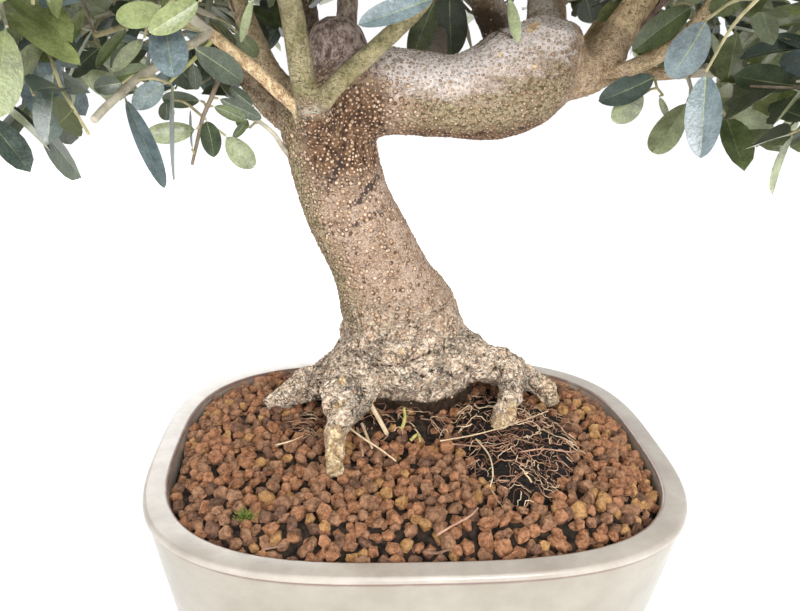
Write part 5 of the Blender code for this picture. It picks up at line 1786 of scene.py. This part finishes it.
def grow_main_twigs(mass, targets):
    """Main twigs of one mass as (points, radii), grown from its stem to every tip it can reach."""
    points, radii = bough_routes[crown.names[mass]]
    root, heading, stem_radius = points[-1], (points[-1] - points[-2]).normalized(), radii[-1]
    start = root + heading * STEM_GAP
    nodes = [(start, heading, 0.0), (start + heading * STEM_LEAD, heading, STEM_LEAD)]
    parents = [None, 0]
    chains = []
    for target in sorted(targets, key=lambda point: (point - root).length):
        found = free_path(mass, nodes, target, TWIG_BEND, TWIG_STEP)
        if found is None:
            continue
        foot, path = found
        way = nodes[foot][2]
        chain = [foot]
        for before, after in zip(path[:-1], path[1:]):
            way += (after - before).length
            parents.append(chain[-1])
            nodes.append((after, (after - before).normalized(), way))
            chain.append(len(nodes) - 1)
        chains.append(chain)
    carried = [0] * len(nodes)
    for chain in chains:
        node = chain[-1]
        while node is not None:
            carried[node] += 1
            node = parents[node]
    twigs = []
    for order, chain in enumerate(chains):
        if order == 0:
            chain = [0] + chain
        route = [nodes[node][0] for node in chain]
        sizes = [TWIG_TIP_RADIUS * carried[node] ** TWIG_GROWTH for node in chain]
        if order == 0:
            route[0] = root - heading * STEM_OVERLAP
            sizes[0] = stem_radius
            sizes[1] = max(sizes[1], STEM_TAPER * stem_radius)
        else:
            sizes[0] = min(FORK_SHARE * sizes[0], sizes[1])
        route, sizes = smooth_route(route, sizes, MAIN_SPACING)
        sizes[-1] *= TWIG_END_SHARE
        if order == 0 or not in_open_sky(np.array(route[1:])).any():
            twigs.append((route, sizes))
    return twigs


def fine_nodes(twigs):
    """Where fine twigs may leave: every point of the main twigs, with its heading and way."""
    nodes = []
    for points, _ in twigs:
        way = 0.0
        for before, after in zip(points[:-1], points[1:]):
            way += (after - before).length
            nodes.append((after, (after - before).normalized(), FINE_WAY_SHARE * way))
    return nodes


def grow_fine_twigs(mass, mains, dice):
    nodes = fine_nodes(mains)
    chosen = [points[-1] for points, _ in mains]
    twigs = []
    for _ in range(FINE_TIPS):
        tries = [[dice.uniform(-FINE_REACH, FINE_REACH) for _ in range(3)] for _ in range(FINE_TRIES * 12)]
        tries = np.array(tries) + crown.middles[mass]
        depths = crown.depths(tries, crown.owners(tries)[0])
        fit = crown.holds(tries, mass, FINE_INSET) & (depths > FINE_SHELL) & ~in_open_sky(tries)
        spots = [Vector(point) for point in tries[fit][:FINE_TRIES]]
        if not spots:
            continue
        target = max(spots, key=lambda spot: min((spot - other).length for other in chosen))
        found = free_path(mass, nodes, target, FINE_BEND, FINE_STEP)
        if found is None:
            continue
        path = found[1]
        if in_open_sky(np.array(path)).any():
            continue
        chosen.append(target)
        wavered = [path[0]]
        wavered += [point + Vector([dice.gauss(0.0, FINE_WAVER) for _ in range(3)]) for point in path[1:-1]]
        wavered.append(path[-1])
        twigs.append((wavered, tapered(len(wavered), *FINE_RADII)))
    return twigs


twig_materials = toned_materials(TWIG_TONES, 0.005, 0.0014, 0.25 * MILLIMETRE, roughness=0.75, specular=0.35,
                                 detail=5.0, stretch=(1.0, 1.0, 0.5))
tips = scatter_tips()
twigs_of = {}
fine_dice = random.Random(FINE_SEED)
for mass, name in enumerate(crown.names):
    mains = grow_main_twigs(mass, tips[mass])
    fines = grow_fine_twigs(mass, mains, fine_dice)
    twigs_of[name] = (mains, fines)
print("main twigs:", sum(len(mains) for mains, _ in twigs_of.values()),
      "fine twigs:", sum(len(fines) for _, fines in twigs_of.values()))

# %% [markdown]
# ### Leaves
# An olive's leaves sit in pairs, each pair turned by a right angle from the last: leathery, 25 to 30 mm
# long, dark or bluish grey-green with a waxy bloom above, pale below, with a light midrib. Cards with a
# cut-out image are lighter, but the leaf must have its own outline, so it is a thin body: nine stations
# along its length, those between its ends with two edges, the rib and the back. A few shapes differ in
# fold and curl, and a spray keeps to one tone, with an odd leaf of another.

# %% Leaves
LEAF_SEED = 12
LEAF_SMOOTH_ANGLE = math.radians(60)
LEAF_LENGTH = (0.0225, 0.0305)
LEAF_RATIO = (0.4, 0.5)
LEAF_THICKNESS = 0.018  # shares of the leaf's length
RIB_WIDTH = 0.02
LEAF_STATIONS = 9  # along a leaf, from its root to its tip
PETIOLE = 0.07  # share of the leaf's length that is stalk
SLENDERNESS = 1.22  # over 1 gives slimmer ends, under 1 blunter ones
LEAF_SHAPES = (
    # fold of the halves, curl down along the length, bend to the side
    (0.3, 0.1, 0.0), (0.18, 0.04, 0.03), (0.42, 0.16, -0.03), (0.24, -0.07, 0.02),
    (0.12, 0.12, -0.02), (0.34, 0.02, 0.04), (0.04, 0.01, 0.01),
)
FLAT_SHAPE = 6
# The blue and silver tones are lighter copies that paint the sheen of light on the waxy leaves, and the fresh
# tone a yellower copy that paints light shining through them; the deep, teal and olive tones are the leaves'
# own.
LEAF_TONES = {
    # name: (share, tone)
    "leaf_deep": (0.3, (0.03, 0.044, 0.02)),
    "leaf_deep_teal": (0.14, (0.036, 0.056, 0.044)),
    "leaf_blue": (0.12, (0.08, 0.11, 0.118)),
    "leaf_olive": (0.24, (0.062, 0.082, 0.024)),
    "leaf_fresh": (0.16, (0.125, 0.15, 0.045)),
    "leaf_silver": (0.04, (0.165, 0.215, 0.215)),
}
RIB_TONE = (0.165, 0.185, 0.085)
UNDER_TONE = (0.19, 0.215, 0.115)
PAIR_SPACING = 0.0088
LEAFY_SHARE = 0.62  # leaves sit along this much of a twig, back from its end
LEAF_SPREAD = math.radians(46)
LEAF_SPREAD_JITTER = 0.22
LEAF_LIFT = 0.32  # how strongly a leaf's face turns to the sky
LEAF_STRAY = 0.3
LEAF_ATTEMPTS = 5
LEAF_GAP = 0.0062
LEAF_CLEARANCE = 0.0015  # leaves keep this far from the limbs
LAST_PAIR = 0.0015  # the outermost pair sits this far back from a twig's end
ODD_LEAF = 0.12
SPINE_SHARES = (0.4, 0.7, 1.0)


def leaf_outline(stations):
    """(way along the leaf, share of its full width), closer together towards both ends."""
    outline = [(0.0, 0.0)]
    for station in range(stations - 1):
        turn = math.pi * (station + 0.42) / (stations - 0.58)
        along = PETIOLE + (1.0 - PETIOLE) * 0.5 * (1.0 - math.cos(turn))
        outline.append((along, math.sin(turn) ** SLENDERNESS * (0.9 + 0.14 * along)))
    outline[-1] = (1.0, 0.0)
    return outline


def leaf_shape(fold, curl, bend, stations=LEAF_STATIONS):
    """Points of one leaf, one long along X, and half a width to each side along Y."""
    points = [(0.0, 0.0, 0.0)]
    for along, width in leaf_outline(stations)[1:-1]:
        half = 0.5 * width
        rib = min(RIB_WIDTH * (1.15 - along), 0.6 * half)
        drop = -curl * along * along
        aside = bend * math.sin(math.pi * along)
        raised = fold * half * 0.45
        thick = LEAF_THICKNESS * (1.6 - along)
        points += [(along, half + aside, drop + raised), (along, rib + aside, drop - 0.004),
                   (along, -rib + aside, drop - 0.004), (along, -half + aside, drop + raised),
                   (along, aside, drop - thick)]
    points.append((1.0, 0.0, -curl))
    return np.array(points)


def leaf_faces(stations=LEAF_STATIONS):
    """Quads between the stations, triangles at both ends, and what each face belongs to."""
    quads, kinds = [], []
    between = (("upper", 1, 0), ("rib", 2, 1), ("upper", 3, 2), ("under", 4, 3), ("under", 0, 4))
    interior = stations - 2
    for station in range(interior - 1):
        start, following = 1 + 5 * station, 6 + 5 * station
        for kind, first, second in between:
            quads.append((start + first, start + second, following + second, following + first))
            kinds.append(kind)
    ends, end_kinds = [], []
    last, tip = 1 + 5 * (interior - 1), 1 + 5 * interior
    for kind, first, second in between:
        ends += [(1 + second, 1 + first, 0), (last + first, last + second, tip)]
        end_kinds += [kind, kind]
    return np.array(quads), np.array(ends), kinds + end_kinds


def leaf_turns(directions, faces, lengths, widths):
    """Matrices that lay a leaf shape along its direction with its face up."""
    across = np.cross(faces, directions)
    across /= np.linalg.norm(across, axis=1)[:, None]
    upward = np.cross(directions, across)
    columns = [directions * lengths[:, None], across * widths[:, None], upward * lengths[:, None]]
    return np.stack(columns, axis=2)


def leaves_object(name, leaves, stations=LEAF_STATIONS):
    """One mesh of many leaves, each given as root, matrix, shape and tone."""
    quads, ends, kinds = leaf_faces(stations)
    shapes = np.array([leaf_shape(*shape, stations) for shape in LEAF_SHAPES])
    leaves = sorted(leaves, key=lambda leaf: leaf[2])
    roots, turns, chosen, tones = (np.array(column) for column in zip(*leaves))
    points = np.einsum("mij,mnj->mni", turns, shapes[chosen]) + roots[:, None, :]
    paint_of = {"upper": 0, "rib": len(LEAF_TONES), "under": len(LEAF_TONES) + 1}
    kinds = np.array([paint_of[kind] for kind in kinds])
    paints = np.where(kinds[None] == 0, tones[:, None], kinds[None])
    paints = np.concatenate([paints[:, :len(quads)].ravel(), paints[:, len(quads):].ravel()])
    faces = [copied_faces(kind, len(leaves), shapes.shape[1]) for kind in (quads, ends)]
    return mesh_object(name, points.reshape(-1, 3), faces, leaf_materials, paints, LEAF_SMOOTH_ANGLE)


def make_leaf_materials():
    materials = []
    tones = {name: tone for name, (_, tone) in LEAF_TONES.items()}
    tones.update(leaf_rib=RIB_TONE, leaf_under=UNDER_TONE)
    for name, tone in tones.items():
        waxy = Finish(name, roughness=0.38, coat=0.18)
        lighter = tuple(min(1.0, 1.55 * value + 0.022) for value in tone)
        darker = tuple(0.66 * value for value in tone)
        wax = waxy.plus(waxy.times(waxy.noise(0.0009, detail=4.0, roughness=0.7), 0.5),
                        waxy.times(waxy.noise(0.007, detail=3.0), 0.5))
        waxy.colour(waxy.mix(waxy.ramp(wax, 0.38, 0.62), darker, lighter))
        waxy.bump(waxy.noise(0.0014, detail=4.0), 0.25 * MILLIMETRE)
        materials.append(waxy.material)
    return materials


def leafy_stations(points):
    """Where pairs of leaves leave a twig: every few millimetres back from its end."""
    lengths = np.cumsum([0.0] + [(b - a).length for a, b in zip(points[:-1], points[1:])])
    way = lengths[-1] - LAST_PAIR
    while way > lengths[-1] * (1.0 - LEAFY_SHARE):
        index = min(int(np.searchsorted(lengths, way, side="right")) - 1, len(points) - 2)
        share = (way - lengths[index]) / (lengths[index + 1] - lengths[index])
        yield points[index].lerp(points[index + 1], share), (points[index + 1] - points[index]).normalized()
        way -= PAIR_SPACING


def leaf_trials(station, heading, side, quarter, dice):
    """A few ways for one leaf to stand: roots, directions, faces, lengths and widths as arrays."""
    trials = []
    base = heading.orthogonal().normalized()
    for attempt in range(LEAF_ATTEMPTS):
        roll = quarter + dice.gauss(0.0, 0.2) + 0.4 * attempt * dice.uniform(-1.0, 1.0)
        around = Quaternion(heading, roll) @ base
        spread = LEAF_SPREAD * (1.0 + LEAF_SPREAD_JITTER * dice.gauss(0.0, 1.0))
        direction = heading * math.cos(spread) + around * side * math.sin(spread)
        face = heading * 0.6 + Vector((0.0, 0.0, LEAF_LIFT * 2.0))
        face += Vector([dice.gauss(0.0, LEAF_STRAY) for _ in range(3)])
        length = dice.uniform(*LEAF_LENGTH)
        trials.append((station, direction.normalized(), face, length, length * dice.uniform(*LEAF_RATIO)))
    return [np.array(column) for column in zip(*trials)]


def standing_leaf(trials, mass, space):
    """Root and matrix of the first trial clear of the limbs, the open sky and other leaves, or None."""
    roots, *measures = trials
    turns = leaf_turns(*measures)
    middles = roots + 0.5 * turns[:, :, 0]
    half_widths = 0.5 * turns[:, :, 1]
    corners = np.concatenate([roots + turns[:, :, 0], middles + half_widths, middles - half_widths])
    good = crown.holds(corners, mass) & ~in_open_sky(corners) & crown.clear_of_limbs(corners, LEAF_CLEARANCE)
    for attempt in np.flatnonzero(good.reshape(3, -1).all(axis=0)):
        spine = [tuple(roots[attempt] + share * turns[attempt][:, 0]) for share in SPINE_SHARES]
        if all(math.dist(point, other) > LEAF_GAP for point in spine for other in space.near(point)):
            for point in spine:
                space.add(point, point)
            return roots[attempt], turns[attempt]
    return None


def grow_leaves(mass, twigs, space, dice):
    tones = range(len(LEAF_TONES))
    weights = [share for share, _ in LEAF_TONES.values()]
    leaves = []
    for points, _ in twigs:
        spray_tone = dice.choices(tones, weights)[0]
        quarter = dice.uniform(0.0, math.pi)
        for station, heading in leafy_stations(points):
            quarter += 0.5 * math.pi
            for side in (-1.0, 1.0):
                placed = standing_leaf(leaf_trials(station, heading, side, quarter, dice), mass, space)
                if placed is None:
                    continue
                tone = spray_tone
                if dice.random() < ODD_LEAF:
                    tone = dice.choices(tones, weights)[0]
                leaves.append((*placed, dice.randrange(len(LEAF_SHAPES)), tone))
    return leaves


leaf_materials = make_leaf_materials()
leaf_space = Neighbours(LEAF_GAP)
leaf_dice = random.Random(LEAF_SEED)
leaf_count = 0
for mass, name in enumerate(crown.names):
    mains, fines = twigs_of[name]
    leaves = grow_leaves(mass, mains + fines, leaf_space, leaf_dice)
    leaf_count += len(leaves)
    dress(leaves_object("foliage_" + name, leaves), "foliage", "leaves_" + name)
    tones = [leaf_dice.choices((0, 1, 2), (0.5, 0.3, 0.2))[0] for _ in fines]
    main_twigs = tubes_object("main_twigs_" + name, mains, MAIN_SIDES, twig_materials, [1] * len(mains))
    dress(main_twigs, "young_bark")
    dress(tubes_object("fine_twigs_" + name, fines, FINE_SIDES, twig_materials, tones), "young_bark")
print("leaves:", leaf_count)

# %% [markdown]
# ### Sprays in view
# Where the crown's underside shows from close by, single leaves can be told apart. They could be left to
# chance too, but then the plant would not be this plant. Each is laid from the spot of its root to the
# spot of its tip in the picture, at a depth that keeps it an olive leaf's size, rolled until it looks as
# broad as it should, and joined to the nearest twig by a stalk.

# %% Sprays in view
VIEW_TWIGS = {
    # name: (spots in the picture with the depth of each in mm, radius at foot and tip in mm, tone)
    "lowest": ([(212, 30, 6), (202, 38, 4), (188, 46, 0), (156, 67, -22), (138, 78, -36), (123, 91, -50),
                (103, 110, -66), (94, 120, -72)], (2.0, 1.3), 1),
    "brown_shoot": ([(236, 52, 9), (224, 70, 7), (217, 83, 4), (211, 99, 2), (203, 117, 1), (197, 143, 0),
                     (192, 165, -2)], (1.25, 0.7), 2),
    "level": ([(208, 30, 6), (180, 25, 2), (142, 20, -8), (122, 27, -14), (94, 36, -22)], (1.6, 1.0), 0),
    "green_shoot": ([(217, 36, 7), (189, 64, 0), (179, 73, -6), (169, 83, -12)], (0.9, 0.6), 3),
    "trunk_shoot": ([(290, 156, 36), (283, 148, 30), (275, 135, 26), (260, 122, 22), (252, 119, 20)],
                    (1.3, 0.8), 1),
    "purple_shoot": ([(634, 42, 39), (644, 26, 34), (653, 14, 28), (669, -4, 20)], (1.5, 1.2), 4),
    "short_shoot": ([(646, 74, 35), (655, 80, 32), (657, 88, 29), (663, 95, 26)], (0.8, 0.5), 0),
    "right_end": ([(676, 72, 33), (688, 78, 30), (691, 88, 28), (690, 97, 26)], (1.2, 0.7), 1),
}
VIEW_LEAVES = (
    # root spot, tip spot, width in pixels, depth of root and of tip in mm, tone, underside shows
    # The tones are partly painted light: a leaf in shade takes a deep tone, one with a sheen on it a blue or
    # silver one, and one with light shining through it a fresh one.
    ((124, 94), (165, 188), 19, -50, -62, "blue", False),
    ((165, 83), (134, 107), 23, -14, -22, "silver", False),
    ((171, 82), (173, 182), 4, -40, -52, "blue", False),
    ((192, 150), (190, 110), 3, -2, 3, "blue", False),
    ((198, 129), (145, 135), 22, 0, -4, "fresh", True),
    ((206, 119), (214, 157), 21, 2, -8, "deep", False),
    ((225, 135), (254, 168), 25, 6, 2, "fresh", True),
    ((217, 98), (262, 119), 15, 4, 8, "deep", False),
    ((212, 106), (247, 120), 14, 3, 6, "olive", False),
    ((192, 47), (243, 82), 29, -16, -8, "deep", False),
    ((193, 62), (196, 90), 13, 6, 8, "deep", False),
    ((202, 101), (161, 98), 17, 6, 12, "deep", False),
    ((166, 100), (166, 121), 16, 14, 18, "deep", False),
    ((249, 119), (233, 138), 9, 20, 16, "olive", False),
    ((254, 107), (230, 87), 14, 24, 22, "deep", False),
    ((250, 128), (236, 118), 12, 26, 24, "olive", False),
    ((166, 8), (115, 19), 25, -95, -92, "fresh", False),
    ((201, 0), (150, 32), 25, -98, -104, "fresh", False),
    ((165, 20), (173, 73), 38, -88, -100, "blue", False),
    ((145, 37), (113, 71), 14, -2, 2, "fresh", True),
    ((154, 66), (113, 77), 17, 8, 10, "olive", False),
    ((123, 83), (94, 88), 19, -30, -34, "deep", False),
    ((128, 29), (94, 66), 11, -24, -30, "olive", False),
    ((192, 42), (192, 23), 13, 8, 12, "silver", False),
    ((237, 33), (258, 57), 16, 22, 26, "olive", False),
    ((254, -3), (240, 42), 9, -104, -112, "silver", True),
    ((657, 76), (599, 101), 27, 28, 22, "deep_teal", False),
    ((645, 93), (612, 122), 25, 30, 30, "fresh", True),
    ((659, 96), (668, 118), 7, 26, 24, "fresh", True),
    ((688, 100), (649, 158), 29, 24, 10, "fresh", True),
    ((708, 18), (670, 78), 37, -70, -66, "blue", False),
    ((706, 70), (701, 156), 35, -72, -84, "blue", False),
    ((695, 4), (634, 50), 27, 14, 16, "olive", False),
    ((585, -4), (592, 22), 25, 66, 66, "deep", False),
    ((618, -2), (598, 22), 13, 62, 62, "fresh", False),
    ((659, 8), (669, 24), 6, 32, 30, "fresh", True),
    ((438, -4), (359, 23), 24, -96, -104, "blue", False),
    ((436, -2), (412, 60), 26, 78, 72, "olive", False),
    ((450, -14), (452, 56), 36, 84, 80, "deep", False),
    ((508, -4), (519, 43), 12, -80, -86, "fresh", True),
)
VIEW_LEAF_RATIO = 0.3
VIEW_LEAF_SLIMNESS = 0.93
VIEW_LEAF_STATIONS = 17
EDGE_ON = math.radians(50)  # rolled further than this, a leaf is a flat one
VIEW_TWIG_STEP = 0.004
STALK_STEP = 0.003
STALK_RADII = (0.0007, 0.0006, 0.0005)
STALK_SAG = 0.12
STALK_END = 0.02  # share of the leaf's length along which the stalk overlaps it


def view_leaf(root_spot, tip_spot, width, root_depth, tip_depth, under):
    """Root and matrix of one leaf laid between two spots of the picture, and whether it is edge on."""
    root, tip = place_at(*root_spot, root_depth * MILLIMETRE), place_at(*tip_spot, tip_depth * MILLIMETRE)
    length = (tip - root).length
    direction = (tip - root) / length
    toward = CAMERA_PLACE - root.lerp(tip, 0.5)
    shown = VIEW_LEAF_SLIMNESS * width * toward.length / FOCAL_LENGTH_IN_PIXELS
    real = max(shown, VIEW_LEAF_RATIO * length)
    facing = (toward - direction * toward.dot(direction)).normalized()
    roll = math.acos(min(1.0, shown / real))
    sideways = direction.cross(facing)
    if sideways.z < 0.0:
        sideways = -sideways
    face = facing * (-1.0 if under else 1.0) * math.cos(roll) + sideways * math.sin(roll)
    turn = leaf_turns(*(np.array([value]) for value in (direction, face, length, real)))[0]
    return np.array(root), turn, roll > EDGE_ON


def make_view_leaves(carriers):
    """The leaves, and a stalk from each root to the nearest twig."""
    tone_names = list(LEAF_TONES)
    dice = random.Random(LEAF_SEED + 1)
    leaves, stalks = [], []
    tree = tree_of([point for points, _ in carriers for point in points])
    for *placing, tone, under in VIEW_LEAVES:
        root, turn, edge_on = view_leaf(*placing, under)
        shape = FLAT_SHAPE if edge_on else dice.randrange(FLAT_SHAPE)
        leaves.append((root, turn, shape, tone_names.index("leaf_" + tone)))
        foot = tree.find(Vector(root))[0]
        end = Vector(root) + Vector(turn[:, 0]) * STALK_END
        middle = foot.lerp(end, 0.5) + Vector((0.0, 0.0, STALK_SAG * (end - foot).length))
        if (end - foot).length > MILLIMETRE:
            stalks.append(smooth_route([foot, middle, end], STALK_RADII, STALK_STEP))
    return leaves, stalks


view_twigs, view_paints = spot_tubes(VIEW_TWIGS, place_at, VIEW_TWIG_STEP)
carriers = view_twigs + list(bough_routes.values())
for mains, fines in twigs_of.values():
    carriers += mains + fines
view_leaves, stalks = make_view_leaves(carriers)
dress(leaves_object("foliage_in_view", view_leaves, VIEW_LEAF_STATIONS), "foliage")
dress(tubes_object("twigs_in_view", view_twigs, 9, twig_materials, view_paints), "young_bark")
dress(tubes_object("leaf_stalks", stalks, 6, twig_materials, [0] * len(stalks)), "young_bark")
